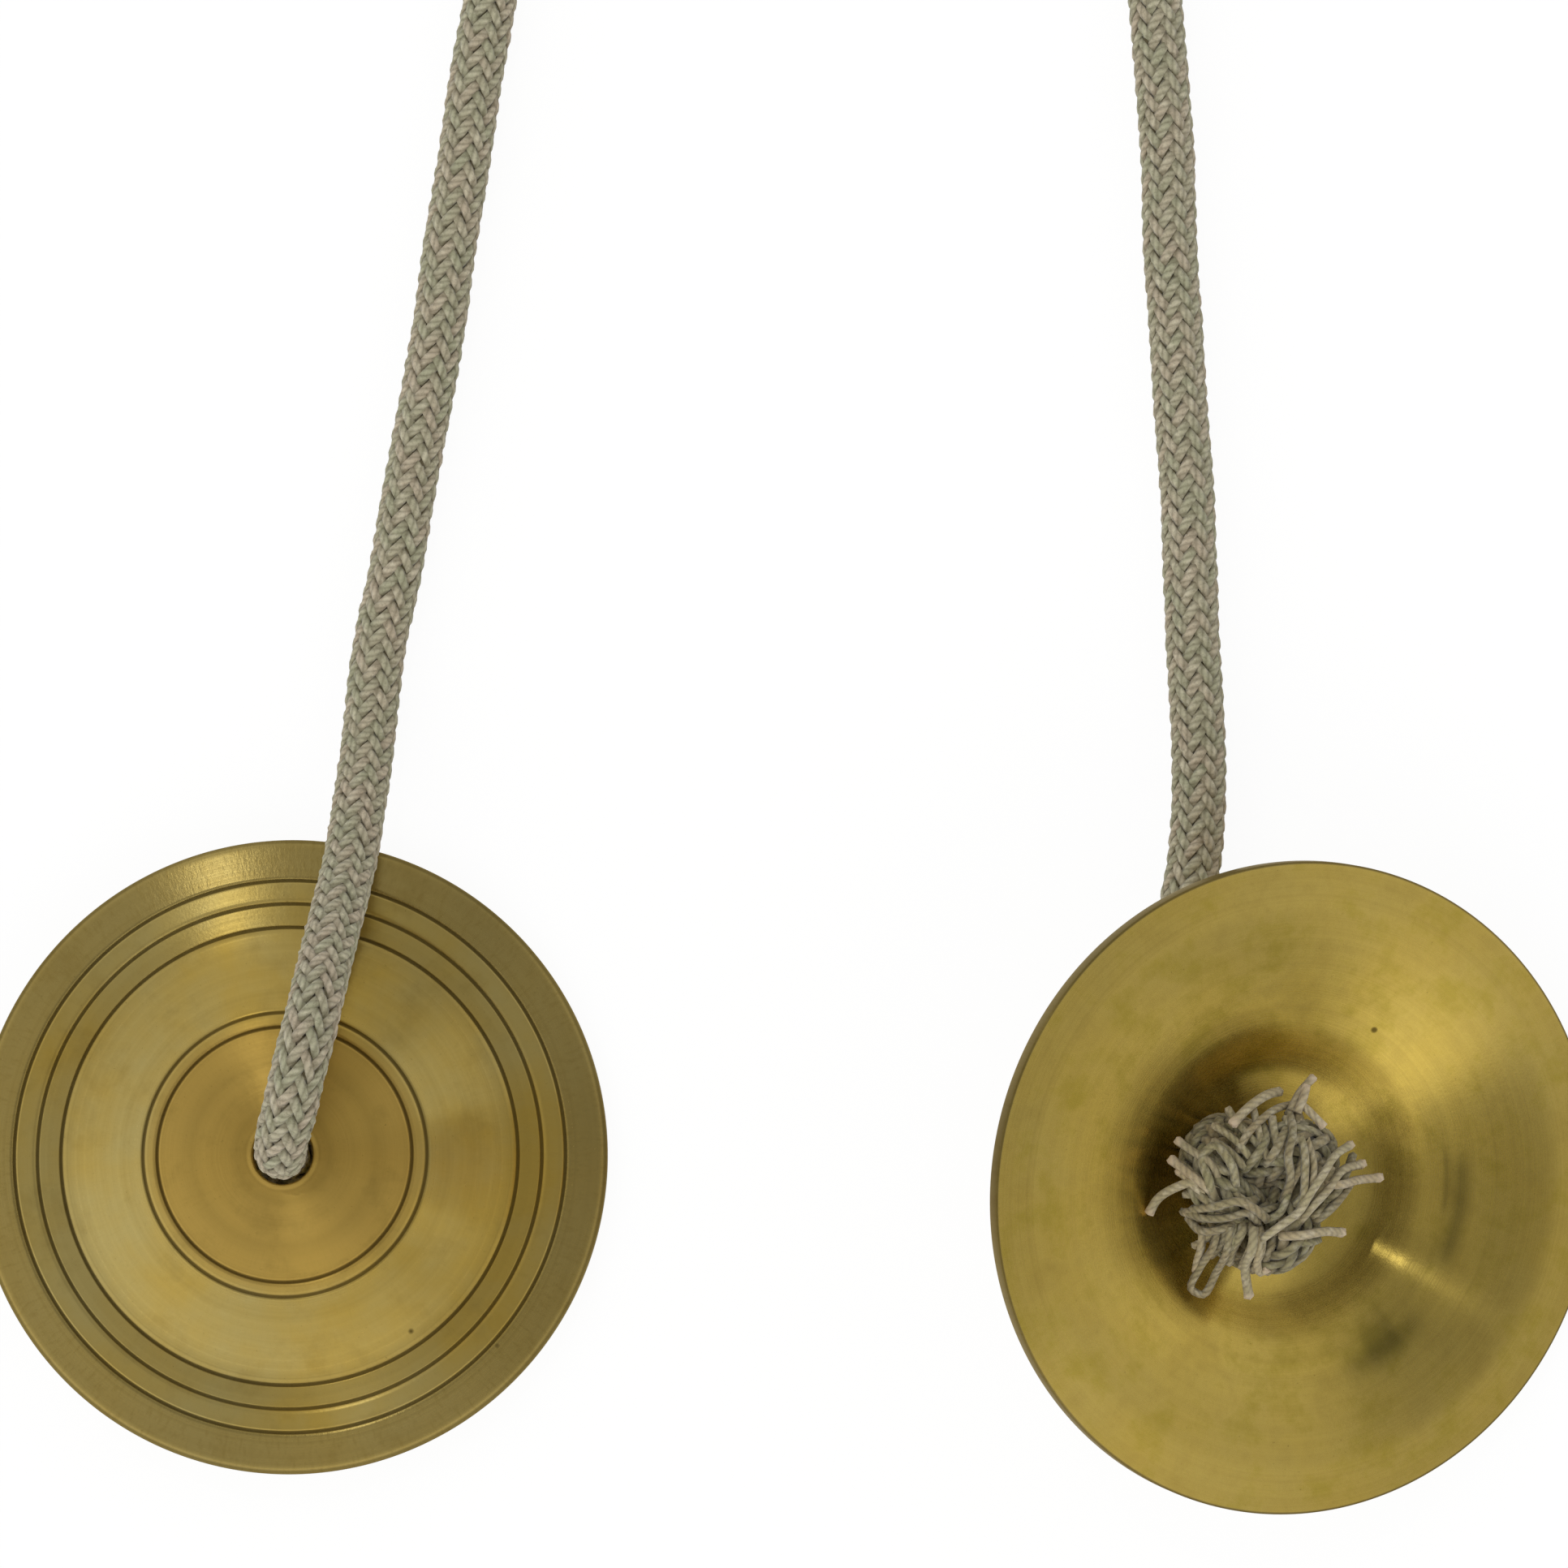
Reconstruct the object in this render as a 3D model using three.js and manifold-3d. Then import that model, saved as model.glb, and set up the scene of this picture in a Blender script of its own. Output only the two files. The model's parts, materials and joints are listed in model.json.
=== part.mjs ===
// A pair of manjira, small brass hand cymbals joined by one braided cotton cord.
// Units are millimetres and +Z is up. The table that the pair lies on is z = 0.
// The left cymbal lies dome up, propped on its knot. The right one lies dome down,
// leaning on its rim and on the bend of the cord under its crown.
import * as THREE from 'three';
import { mergeVertices } from 'three/addons/utils/BufferGeometryUtils.js';
import Module from 'manifold-3d';

const wasm = await Module();
wasm.setup();

// Cymbal, outer side
const cymbalRadius = 35;
const cymbalHeight = 12.5;
const rimThickness = 2;
const rimChamfer = 0.25;
const bevelRise = 1.05;
const shoulderRise = 0.52;
const crownDrop = 3;
const flareCurl = 1.35;

// Turned grooves, a pair round the crown and three on the shoulder
const crownGrooveRadius = 13.9;
const crownGroovePitch = 1.6;
const crownGrooveCount = 2;
const shoulderGrooveRadius = 30.4;
const shoulderGroovePitch = 2.6;
const shoulderGrooveCount = 3;
const grooveWidth = 0.36;
const grooveDepth = 0.25;

// Cymbal, striking side
const bandWidth = 4;
const bowlDepth = 6.2;
const bowlCurl = 1.5;
const cupMouthRadius = 14.5;
const cupFlare = 3;
const cupFloorRadius = 11.6;
const crownWall = 1.9;
const holeRadius = 3.3;

// Braided cord, its knots and its frayed ends
const cordDiameter = 6;
const neckDiameter = 5.4;
const knotStrandDiameter = 6.4;
const knotLoop = 2.2;
const knotLift = 3.5;
const knotCoreDiameter = 9;
const yarnDiameter = 1.1;
const yarnCount = 16;

// Clearances
const seatGap = 0.3;
const cutGap = 0.3;
const bendDrop = 3.1;
const knotRockGap = 0.6;

// How the pair lies
const leftPlace = new THREE.Vector2(-53.52, 0.75);
const leftLean = new THREE.Vector2(0.95, 0.3);
const rightPlace = new THREE.Vector2(58.06, -2.43);
const rightLean = new THREE.Vector2(0.97, -0.24);
const rightTilt = THREE.MathUtils.degToRad(26);
const rightNeckLean = new THREE.Vector3(-0.7, 0.7, 0).normalize();

// The cord's route from the left crown to the right one, chosen point by point
const leftRoute = [
  [-51.5, 2.1, 21.2], [-49.9, 6.0, 24.8], [-48.5, 10.8, 26.4], [-47.5, 15.9, 25.0],
  [-47.0, 21.6, 20.6], [-46.6, 26.4, 16.2], [-46.2, 30.6, 12.6], [-45.8, 34.7, 10.0],
  [-45.6, 39.0, 7.4], [-45.3, 43.7, 5.0], [-45.0, 48.3, 3.6], [-44.1, 57.0, 3.1],
  [-42.2, 66.1, 3.1], [-40.7, 75.1, 3.1], [-39.0, 84.2, 3.1], [-37.4, 93.3, 3.1],
  [-36.2, 102.4, 3.1], [-34.7, 111.4, 3.1], [-33.4, 120.6, 3.1], [-31.8, 129.6, 3.1],
];
const archRoute = [
  [-28.9, 147.8, 3.1], [-25.2, 164.5, 3.1], [-18.6, 183.0, 3.1], [-7.8, 198.5, 3.1],
  [6.0, 204.6, 3.1], [20.0, 198.5, 3.1], [31.2, 183.0, 3.1], [37.9, 164.5, 3.1],
  [41.2, 146.3, 3.1],
];
const rightRoute = [
  [42.4, 128.2, 3.1], [43.1, 119.3, 3.1], [43.7, 110.2, 3.1], [43.9, 101.2, 3.1],
  [44.5, 92.2, 3.1], [45.0, 83.3, 3.1], [45.7, 74.3, 3.1], [46.0, 65.4, 3.1],
  [46.3, 56.4, 3.1], [46.8, 47.4, 3.1], [46.8, 38.6, 3.1], [46.3, 32.9, 3.1],
  [45.3, 27.2, 3.1], [44.6, 21.6, 3.1], [44.4, 16.4, 3.1], [44.9, 11.6, 3.1],
  [46.0, 7.3, 3.1], [47.6, 3.8, 3.1],
];

// Fineness of the faceted surfaces
const turnSegments = 60;
const cordSides = 10;
const leftCordSteps = 38;
const archCordSteps = 20;
const rightCordSteps = 38;
const knotSides = 8;
const knotStepsPerLobe = 11;
const yarnSides = 5;
const yarnSteps = 4;
const profileSteps = 4;

// Heights on the outer side that follow from the sizes above
const crownEdgeRadius = crownGrooveRadius + (crownGrooveCount - 1) * crownGroovePitch;
const shoulderEdgeRadius = shoulderGrooveRadius - (shoulderGrooveCount - 1) * shoulderGroovePitch;
const bevelHeight = rimThickness + bevelRise;
const shoulderHeight = bevelHeight + shoulderRise;
const crownEdgeHeight = cymbalHeight - crownDrop;
const cupDepth = cymbalHeight - crownWall;

// The crown is a shallow dome, then a concave flare, a nearly flat shoulder and a bevel.
function outerHeight(radius) {
  if (radius <= crownEdgeRadius) {
    const share = (radius ** 2 - holeRadius ** 2) / (crownEdgeRadius ** 2 - holeRadius ** 2);
    return cymbalHeight - crownDrop * share;
  }
  if (radius <= shoulderEdgeRadius) {
    const share = (radius - crownEdgeRadius) / (shoulderEdgeRadius - crownEdgeRadius);
    const fall = crownEdgeHeight - shoulderHeight;
    return shoulderHeight + fall * (1 - share) ** flareCurl;
  }
  if (radius <= shoulderGrooveRadius) {
    const share = (radius - shoulderEdgeRadius) / (shoulderGrooveRadius - shoulderEdgeRadius);
    return THREE.MathUtils.lerp(shoulderHeight, bevelHeight, share);
  }
  const share = (radius - shoulderGrooveRadius) / (cymbalRadius - shoulderGrooveRadius);
  return THREE.MathUtils.lerp(bevelHeight, rimThickness, share);
}

function grooveRadii() {
  const radii = [];
  for (let i = 0; i < crownGrooveCount; i += 1) {
    radii.push(crownGrooveRadius + i * crownGroovePitch);
  }
  for (let i = shoulderGrooveCount - 1; i >= 0; i -= 1) {
    radii.push(shoulderGrooveRadius - i * shoulderGroovePitch);
  }
  return radii;
}

function between(start, end, steps) {
  const values = [];
  for (let i = 0; i <= steps; i += 1) {
    values.push(THREE.MathUtils.lerp(start, end, i / steps));
  }
  return values;
}

// Outer side from the hole to the rim, with each groove as a small V.
function outerPoints() {
  const grooves = grooveRadii();
  const plain = [
    ...between(holeRadius, crownEdgeRadius, profileSteps),
    ...between(crownEdgeRadius, shoulderEdgeRadius, profileSteps),
    cymbalRadius - rimChamfer,
  ];
  const clear = plain.filter((r) => grooves.every((g) => Math.abs(r - g) > grooveWidth));
  const points = clear.map((r) => new THREE.Vector2(r, outerHeight(r)));
  for (const groove of grooves) {
    const inner = groove - grooveWidth / 2;
    const outer = groove + grooveWidth / 2;
    points.push(new THREE.Vector2(inner, outerHeight(inner)));
    points.push(new THREE.Vector2(groove, outerHeight(groove) - grooveDepth));
    points.push(new THREE.Vector2(outer, outerHeight(outer)));
  }
  points.sort((a, b) => a.x - b.x);
  points.push(new THREE.Vector2(cymbalRadius, rimThickness - rimChamfer));
  return points;
}

// Height of the bowl, as deep as bowlDepth at the cup's mouth
function bowlHeight(radius) {
  const bandInner = cymbalRadius - bandWidth;
  const share = (bandInner - radius) / (bandInner - cupMouthRadius);
  return bowlDepth * share ** bowlCurl;
}

// Height of the cup's floor, a wall's thickness under the crown
function floorHeight(radius) {
  return outerHeight(radius) - crownWall;
}

// The point where a straight run with a height's slope at one radius reaches another radius
function leadPoint(height, from, to) {
  const reach = 0.01;
  const slope = (height(from + reach) - height(from - reach)) / (2 * reach);
  return new THREE.Vector2(to, height(from) + slope * (to - from));
}

// Striking side from the rim to the hole: flat band, shallow bowl, cup wall, cup floor. The
// wall leaves the bowl and meets the floor with their own slopes, so that nothing is sharp.
function strikingPoints() {
  const flareRadius = cupMouthRadius + cupFlare;
  const points = [new THREE.Vector2(cymbalRadius, 0)];
  for (const radius of between(cymbalRadius - bandWidth, flareRadius, profileSteps)) {
    points.push(new THREE.Vector2(radius, bowlHeight(radius)));
  }
  const third = (flareRadius - cupFloorRadius) / 3;
  const wall = new THREE.CubicBezierCurve(
    points[points.length - 1],
    leadPoint(bowlHeight, flareRadius, flareRadius - third),
    leadPoint(floorHeight, cupFloorRadius, cupFloorRadius + third),
    new THREE.Vector2(cupFloorRadius, floorHeight(cupFloorRadius)),
  );
  points.push(...wall.getPoints(profileSteps).slice(1));
  for (const radius of between(cupFloorRadius, holeRadius, profileSteps).slice(1)) {
    points.push(new THREE.Vector2(radius, floorHeight(radius)));
  }
  return points;
}

// Turned about its own axis, striking face at z = 0 and crown towards +Z.
function cymbalGeometry() {
  const outline = [...outerPoints(), ...strikingPoints()].reverse();
  outline.push(outline[0].clone());
  const geometry = new THREE.LatheGeometry(outline, turnSegments);
  geometry.rotateX(Math.PI / 2);
  return geometry;
}

// Solids for joining, made from closed meshes with shared corners
function solidOf(geometry) {
  const bare = geometry.index ? geometry.toNonIndexed() : geometry.clone();
  bare.deleteAttribute('normal');
  bare.deleteAttribute('uv');
  const merged = mergeVertices(bare, 1e-4);
  const mesh = new wasm.Mesh({
    numProp: 3,
    vertProperties: new Float32Array(merged.attributes.position.array),
    triVerts: new Uint32Array(merged.index.array),
  });
  return new wasm.Manifold(mesh);
}

function geometryOf(solid) {
  const mesh = solid.getMesh();
  const geometry = new THREE.BufferGeometry();
  geometry.setAttribute('position', new THREE.BufferAttribute(mesh.vertProperties, 3));
  geometry.setIndex(new THREE.BufferAttribute(mesh.triVerts, 1));
  geometry.computeVertexNormals();
  return geometry;
}

function tubeGeometry(curve, diameter, sides, steps) {
  const section = new THREE.Shape();
  for (let i = 0; i < sides; i += 1) {
    const angle = (i / sides) * 2 * Math.PI;
    const x = (diameter / 2) * Math.cos(angle);
    const y = (diameter / 2) * Math.sin(angle);
    if (i === 0) {
      section.moveTo(x, y);
    } else {
      section.lineTo(x, y);
    }
  }
  section.closePath();
  return new THREE.ExtrudeGeometry(section, { steps, extrudePath: curve, curveSegments: 1 });
}

// Part of a longer curve, from one distance along it to another.
class Stretch extends THREE.Curve {
  constructor(whole, start, end) {
    super();
    this.whole = whole;
    this.start = start / whole.getLength();
    this.end = end / whole.getLength();
  }

  getPoint(share, target = new THREE.Vector3()) {
    return this.whole.getPointAt(THREE.MathUtils.lerp(this.start, this.end, share), target);
  }
}

// Overhand knot: one lobe of a trefoil round the cymbal's axis, centred on the origin.
class KnotLobe extends THREE.Curve {
  constructor(lobe) {
    super();
    this.lobe = lobe;
  }

  getPoint(share, target = new THREE.Vector3()) {
    const overrun = 0.04;
    const turn = THREE.MathUtils.lerp(-overrun, 1 + overrun, share) + this.lobe;
    const t = (turn * 2 * Math.PI) / 3;
    const x = knotLoop * (Math.sin(t) + 2 * Math.sin(2 * t));
    const y = knotLoop * (Math.cos(t) - 2 * Math.cos(2 * t));
    return target.set(x, y, -knotLift * Math.sin(3 * t));
  }
}

const knotHeight = 2 * knotLift + knotStrandDiameter;
const knotCentreHeight = cupDepth - seatGap - knotHeight / 2;
const leftBendHeight = cymbalHeight - crownWall / 2;
const rightBendHeight = cymbalHeight + bendDrop;
const neckBallRadius = neckDiameter / 2;
const goldenAngle = Math.PI * (3 - Math.sqrt(5));
const lobeCount = 3;

// Yarns of the frayed end. Each profile is a list of [distance from the axis, drop below
// the knot's middle]; every yarn stretches it a little more or less than the last.
const frayOverKnot = [[1.0, 3.0], [4.4, 7.0], [8.2, 6.7], [10.6, 4.4], [11.4, 1.8]];
const frayBesideKnot = [[4.0, 0.6], [7.6, 1.2], [10.2, 1.9], [12.2, 2.4], [13.6, 2.3]];
const yarnSpread = 0.14;

function yarnCurve(profile, index) {
  const azimuth = index * goldenAngle;
  const stretch = 1 + yarnSpread * (((index * 0.618) % 1) - 1);
  const twist = 0.35 * (((index * 0.414) % 1) - 0.5);
  const points = profile.map(([distance, drop], step) => {
    const angle = azimuth + twist * step;
    const radius = distance * stretch;
    return new THREE.Vector3(radius * Math.cos(angle), radius * Math.sin(angle), -drop);
  });
  return new THREE.CatmullRomCurve3(points);
}

// Knot with its neck through the hole and its frayed yarns, in the cymbal's frame. The
// neck ends in a ball where the cord bends, in the left hole and outside the right one.
function knotGeometry(frayProfile, bendHeight) {
  let solid = null;
  for (let lobe = 0; lobe < lobeCount; lobe += 1) {
    const tube = tubeGeometry(new KnotLobe(lobe), knotStrandDiameter, knotSides, knotStepsPerLobe);
    const lobeSolid = solidOf(tube);
    solid = solid ? solid.add(lobeSolid) : lobeSolid;
  }
  for (let i = 0; i < yarnCount; i += 1) {
    const yarn = tubeGeometry(yarnCurve(frayProfile, i), yarnDiameter, yarnSides, yarnSteps);
    solid = solid.add(solidOf(yarn));
  }
  const neckLength = bendHeight - knotCentreHeight;
  const neck = new THREE.CylinderGeometry(neckBallRadius, neckBallRadius, neckLength, cordSides);
  neck.rotateX(Math.PI / 2);
  neck.translate(0, 0, neckLength / 2);
  const ball = new THREE.SphereGeometry(neckBallRadius, cordSides, cordSides / 2);
  ball.rotateX(Math.PI / 2);
  ball.translate(0, 0, neckLength);
  const core = new THREE.SphereGeometry(knotCoreDiameter / 2, cordSides, cordSides / 2);
  solid = solid.add(solidOf(neck)).add(solidOf(ball)).add(solidOf(core));
  const geometry = geometryOf(solid);
  geometry.translate(0, 0, knotCentreHeight);
  return geometry;
}

// Resting places
const up = new THREE.Vector3(0, 0, 1);
const leftTilt = Math.atan((knotHeight + seatGap + knotRockGap - cupDepth) / cymbalRadius);
const leftCentreHeight = cymbalRadius * Math.sin(leftTilt);
const rimEdgeReach = (cymbalRadius - rimChamfer) * Math.sin(rightTilt);
const rightCentreHeight = rimEdgeReach + rimThickness * Math.cos(rightTilt);

function leaningAxis(lean, tilt) {
  const level = lean.clone().normalize().multiplyScalar(Math.sin(tilt));
  return new THREE.Vector3(level.x, level.y, Math.cos(tilt));
}

const leftCrown = leaningAxis(leftLean, leftTilt);
const rightCrown = leaningAxis(rightLean, rightTilt).negate();
const leftCentre = new THREE.Vector3(leftPlace.x, leftPlace.y, leftCentreHeight);
const rightCentre = new THREE.Vector3(rightPlace.x, rightPlace.y, rightCentreHeight);
const leftPivot = leftCentre.clone().addScaledVector(leftCrown, leftBendHeight);
const rightPivot = rightCentre.clone().addScaledVector(rightCrown, rightBendHeight);

// The whole cord as one smooth curve, from the left neck to the right neck
const neckReach = neckBallRadius + cutGap;
const asPoint = ([x, y, z]) => new THREE.Vector3(x, y, z);
const cordCurve = new THREE.CatmullRomCurve3([
  leftPivot.clone().addScaledVector(leftCrown, neckReach),
  ...leftRoute.map(asPoint),
  ...archRoute.map(asPoint),
  ...rightRoute.map(asPoint),
  rightPivot.clone().addScaledVector(rightNeckLean, neckReach),
], false, 'centripetal');
cordCurve.arcLengthDivisions = 2000;

// Distance along the cord of the point nearest to a route point
function distanceAlong(point) {
  const samples = 2000;
  let best = 0;
  let least = Infinity;
  for (let i = 0; i <= samples; i += 1) {
    const gap = cordCurve.getPointAt(i / samples).distanceTo(point);
    if (gap < least) {
      least = gap;
      best = i / samples;
    }
  }
  return best * cordCurve.getLength();
}

const archStart = distanceAlong(asPoint(archRoute[0]));
const archEnd = distanceAlong(asPoint(archRoute[archRoute.length - 1]));
const cordEnd = cordCurve.getLength();

// Finishes
const brass = { color: 0xa08a47, roughness: 0.32, metalness: 1 };
const cotton = { color: 0xa59b7d, roughness: 0.95, metalness: 0 };

function namedMesh(name, geometry, finish) {
  const mesh = new THREE.Mesh(geometry, new THREE.MeshStandardMaterial(finish));
  mesh.name = name;
  return mesh;
}

function cymbalGroup(centre, crown) {
  const group = new THREE.Group();
  group.position.copy(centre);
  group.quaternion.setFromUnitVectors(up, crown);
  return group;
}

const pair = new THREE.Group();

const leftGroup = cymbalGroup(leftCentre, leftCrown);
leftGroup.add(namedMesh('cymbal_left', cymbalGeometry(), brass));
leftGroup.add(namedMesh('knot_left', knotGeometry(frayBesideKnot, leftBendHeight), cotton));
pair.add(leftGroup);

const rightGroup = cymbalGroup(rightCentre, rightCrown);
rightGroup.add(namedMesh('cymbal_right', cymbalGeometry(), brass));
rightGroup.add(namedMesh('knot_right', knotGeometry(frayOverKnot, rightBendHeight), cotton));
pair.add(rightGroup);

const stretches = [
  ['cord_left', 0, archStart - cutGap / 2, leftCordSteps],
  ['cord_arch', archStart + cutGap / 2, archEnd - cutGap / 2, archCordSteps],
  ['cord_right', archEnd + cutGap / 2, cordEnd, rightCordSteps],
];
for (const [name, start, end, steps] of stretches) {
  const curve = new Stretch(cordCurve, start, end);
  pair.add(namedMesh(name, tubeGeometry(curve, cordDiameter, cordSides, steps), cotton));
}

// The origin is under the middle of the two cymbals, on the table.
pair.updateMatrixWorld(true);
const span = new THREE.Box3();
span.expandByObject(leftGroup.children[0], true);
span.expandByObject(rightGroup.children[0], true);
pair.position.set(-(span.min.x + span.max.x) / 2, -(span.min.y + span.max.y) / 2, -span.min.z);

export default pair;
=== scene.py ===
"""A pair of brass manjira on one braided cotton cord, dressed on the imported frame."""

from __future__ import annotations

import json
import logging
import math
from dataclasses import dataclass, field
from enum import Enum
from typing import Any, Callable

import bmesh
import bpy
import numpy as np
from mathutils import Matrix, Vector


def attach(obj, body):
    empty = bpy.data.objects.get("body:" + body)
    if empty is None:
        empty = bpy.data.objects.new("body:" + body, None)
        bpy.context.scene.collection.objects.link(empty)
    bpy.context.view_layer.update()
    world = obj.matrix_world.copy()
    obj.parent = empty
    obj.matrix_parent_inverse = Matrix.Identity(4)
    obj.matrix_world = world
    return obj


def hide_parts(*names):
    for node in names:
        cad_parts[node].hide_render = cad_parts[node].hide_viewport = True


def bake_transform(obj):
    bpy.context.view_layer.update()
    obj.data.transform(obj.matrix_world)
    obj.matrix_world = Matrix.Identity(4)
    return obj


log = logging.getLogger("manjira")
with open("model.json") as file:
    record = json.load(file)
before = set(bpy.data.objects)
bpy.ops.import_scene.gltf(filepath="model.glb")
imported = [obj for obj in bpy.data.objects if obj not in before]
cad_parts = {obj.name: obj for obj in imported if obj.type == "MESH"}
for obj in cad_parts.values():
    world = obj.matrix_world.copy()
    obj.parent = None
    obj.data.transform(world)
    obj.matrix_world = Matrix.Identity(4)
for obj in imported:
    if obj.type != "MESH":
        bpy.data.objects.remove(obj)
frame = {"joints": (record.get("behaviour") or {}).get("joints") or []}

MM = 0.001
TAU = 2.0 * math.pi
CORD_STEP = 0.62  # millimetres between the points of the main cord's braid
FIRST_RISE = 3.4  # how far the cord rises straight out of the left hole
ARC_POINTS = 5  # points on each rounded corner and on each side of a groove
UV_PER_MM = 0.02  # how much of the brass's map one millimetre of its section takes

Colour = tuple[float, float, float, float]


class Side(Enum):
    """Which cymbal of the pair a piece belongs to."""

    LEFT = "left"
    RIGHT = "right"


class Lie(Enum):
    """How a frayed cord end lies round its knot."""

    SPREAD_OVER = "over the knot, in the open cup"
    PRESSED_OUT = "pressed out sideways under the cup"


# The cord's route in millimetres, listed point by point, and its origin in the row frame
ROUTE_ORIGIN = (-0.693, 0.708, 0.043)
LEFT_ROUTE = [
    (-51.5, 2.1, 21.2), (-49.9, 6.0, 24.8), (-48.5, 10.8, 26.4), (-47.5, 15.9, 25.0),
    (-47.0, 21.6, 20.6), (-46.6, 26.4, 16.2), (-46.2, 30.6, 12.6), (-45.8, 34.7, 10.0),
    (-45.6, 39.0, 7.4), (-45.3, 43.7, 5.0), (-45.0, 48.3, 3.6), (-44.1, 57.0, 3.1),
    (-42.2, 66.1, 3.1), (-40.7, 75.1, 3.1), (-39.0, 84.2, 3.1), (-37.4, 93.3, 3.1),
    (-36.2, 102.4, 3.1), (-34.7, 111.4, 3.1), (-33.4, 120.6, 3.1), (-31.8, 129.6, 3.1),
]
ARCH_ROUTE = [
    (-28.9, 147.8, 3.1), (-25.2, 164.5, 3.1), (-18.6, 183.0, 3.1), (-7.8, 198.5, 3.1),
    (6.0, 204.6, 3.1), (20.0, 198.5, 3.1), (31.2, 183.0, 3.1), (37.9, 164.5, 3.1),
    (41.2, 146.3, 3.1),
]
RIGHT_ROUTE = [
    (42.4, 128.2, 3.1), (43.1, 119.3, 3.1), (43.7, 110.2, 3.1), (43.9, 101.2, 3.1),
    (44.5, 92.2, 3.1), (45.0, 83.3, 3.1), (45.7, 74.3, 3.1), (46.0, 65.4, 3.1),
    (46.3, 56.4, 3.1), (46.8, 47.4, 3.1), (46.8, 38.6, 3.1), (46.3, 32.9, 3.1),
    (45.3, 27.2, 3.1), (44.6, 21.6, 3.1), (44.4, 16.4, 3.1), (44.9, 11.6, 3.1),
    (46.0, 7.3, 3.1), (47.6, 3.8, 3.1),
]


def smooth_step(low: float, high: float, value: Any) -> Any:
    """Eases from 0 at low to 1 at high.

    Args:
        low: where the step starts.
        high: where the step ends.
        value: a number or an array of them.

    Returns:
        The eased share, as a number or an array.
    """
    share = np.clip((value - low) / (high - low), 0.0, 1.0)
    return share * share * (3.0 - 2.0 * share)


def catmull_rom(points: np.ndarray, step: float) -> np.ndarray:
    """Draws one smooth centripetal curve through points and spaces it evenly.

    Args:
        points: the points to pass through, one a row.
        step: the wanted distance between the new points.

    Returns:
        Evenly spaced points along the curve.
    """
    ends = np.vstack([2 * points[0] - points[1], points, 2 * points[-1] - points[-2]])
    knots = np.concatenate([[0.0], np.cumsum(np.linalg.norm(np.diff(ends, axis=0), axis=1) ** 0.5)])
    dense = []
    for i in range(1, len(ends) - 2):
        t = np.linspace(knots[i], knots[i + 1], 24, endpoint=False)[:, None]
        a = [_mix(ends[i + k - 1], ends[i + k], knots[i + k - 1], knots[i + k], t) for k in range(3)]
        b = [_mix(a[k], a[k + 1], knots[i + k - 1], knots[i + k + 1], t) for k in range(2)]
        dense.append(_mix(b[0], b[1], knots[i], knots[i + 1], t))
    line = np.vstack([*dense, points[-1:]])
    along = np.concatenate([[0.0], np.cumsum(np.linalg.norm(np.diff(line, axis=0), axis=1))])
    count = max(2, int(round(along[-1] / step)) + 1)
    even = np.linspace(0.0, along[-1], count)
    return np.column_stack([np.interp(even, along, line[:, axis]) for axis in range(3)])


def _mix(first: np.ndarray, second: np.ndarray, low: float, high: float, t: np.ndarray) -> np.ndarray:
    """Blends two points or rows of points by where t lies between low and high."""
    return (first * (high - t) + second * (t - low)) / (high - low)


def carried_frames(line: np.ndarray) -> tuple[np.ndarray, np.ndarray, np.ndarray]:
    """Carries a pair of cross directions along a curve without twisting them.

    Args:
        line: points along the curve.

    Returns:
        The tangents and the two cross directions, one row a point.
    """
    tangents = np.gradient(line, axis=0)
    tangents /= np.linalg.norm(tangents, axis=1)[:, None]
    seed = np.array([0.0, 0.0, 1.0]) if abs(tangents[0, 2]) < 0.9 else np.array([1.0, 0.0, 0.0])
    across = np.zeros_like(line)
    for i, tangent in enumerate(tangents):
        seed = seed - seed.dot(tangent) * tangent
        seed /= np.linalg.norm(seed)
        across[i] = seed
    return tangents, across, np.cross(tangents, across)


@dataclass(frozen=True)
class Lathe:
    """A cymbal's own frame: its axis runs through its crown, and its striking face is at 0."""

    side: Side
    height: float = 12.5
    wall: float = 1.9
    bend_drop: float = 3.1

    @property
    def joint(self) -> dict[str, Any]:
        """The spin joint that holds the cymbal's axis."""
        return next(j for j in frame["joints"] if j["name"] == f"{self.side.value}_spin")

    @property
    def crown(self) -> Vector:
        """The direction from the striking face to the crown."""
        axis = Vector(self.joint["axis"]).normalized()
        return axis if self.side is Side.LEFT else -axis

    @property
    def bend(self) -> Vector:
        """Where the cord bends, in the left hole and just outside the right one, in millimetres."""
        return Vector(self.joint["pos_m"]) / MM

    @property
    def bend_height(self) -> float:
        """Height of the bend over the striking face."""
        return self.height - self.wall / 2 if self.side is Side.LEFT else self.height + self.bend_drop

    @property
    def matrix(self) -> Matrix:
        """The transform from the cymbal's frame to the row frame, both in millimetres."""
        centre = self.bend - self.crown * self.bend_height
        turn = Vector((0.0, 0.0, 1.0)).rotation_difference(self.crown).to_matrix().to_4x4()
        return Matrix.Translation(centre) @ turn


def piece_from(work: bmesh.types.BMesh, name: str, smooth: bool = True) -> bpy.types.Object:
    """Makes an object from a finished bmesh in millimetres and frees the bmesh.

    Args:
        work: the shape, in the row frame, in millimetres.
        name: the piece's name.
        smooth: whether its faces are shaded smooth.

    Returns:
        The object, linked to the scene, in metres.
    """
    bmesh.ops.scale(work, vec=(MM, MM, MM), verts=work.verts)
    mesh = bpy.data.meshes.new(name)
    work.to_mesh(mesh)
    work.free()
    piece = bpy.data.objects.new(name, mesh)
    bpy.context.scene.collection.objects.link(piece)
    if smooth:
        mesh.shade_smooth()
    return piece


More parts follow.
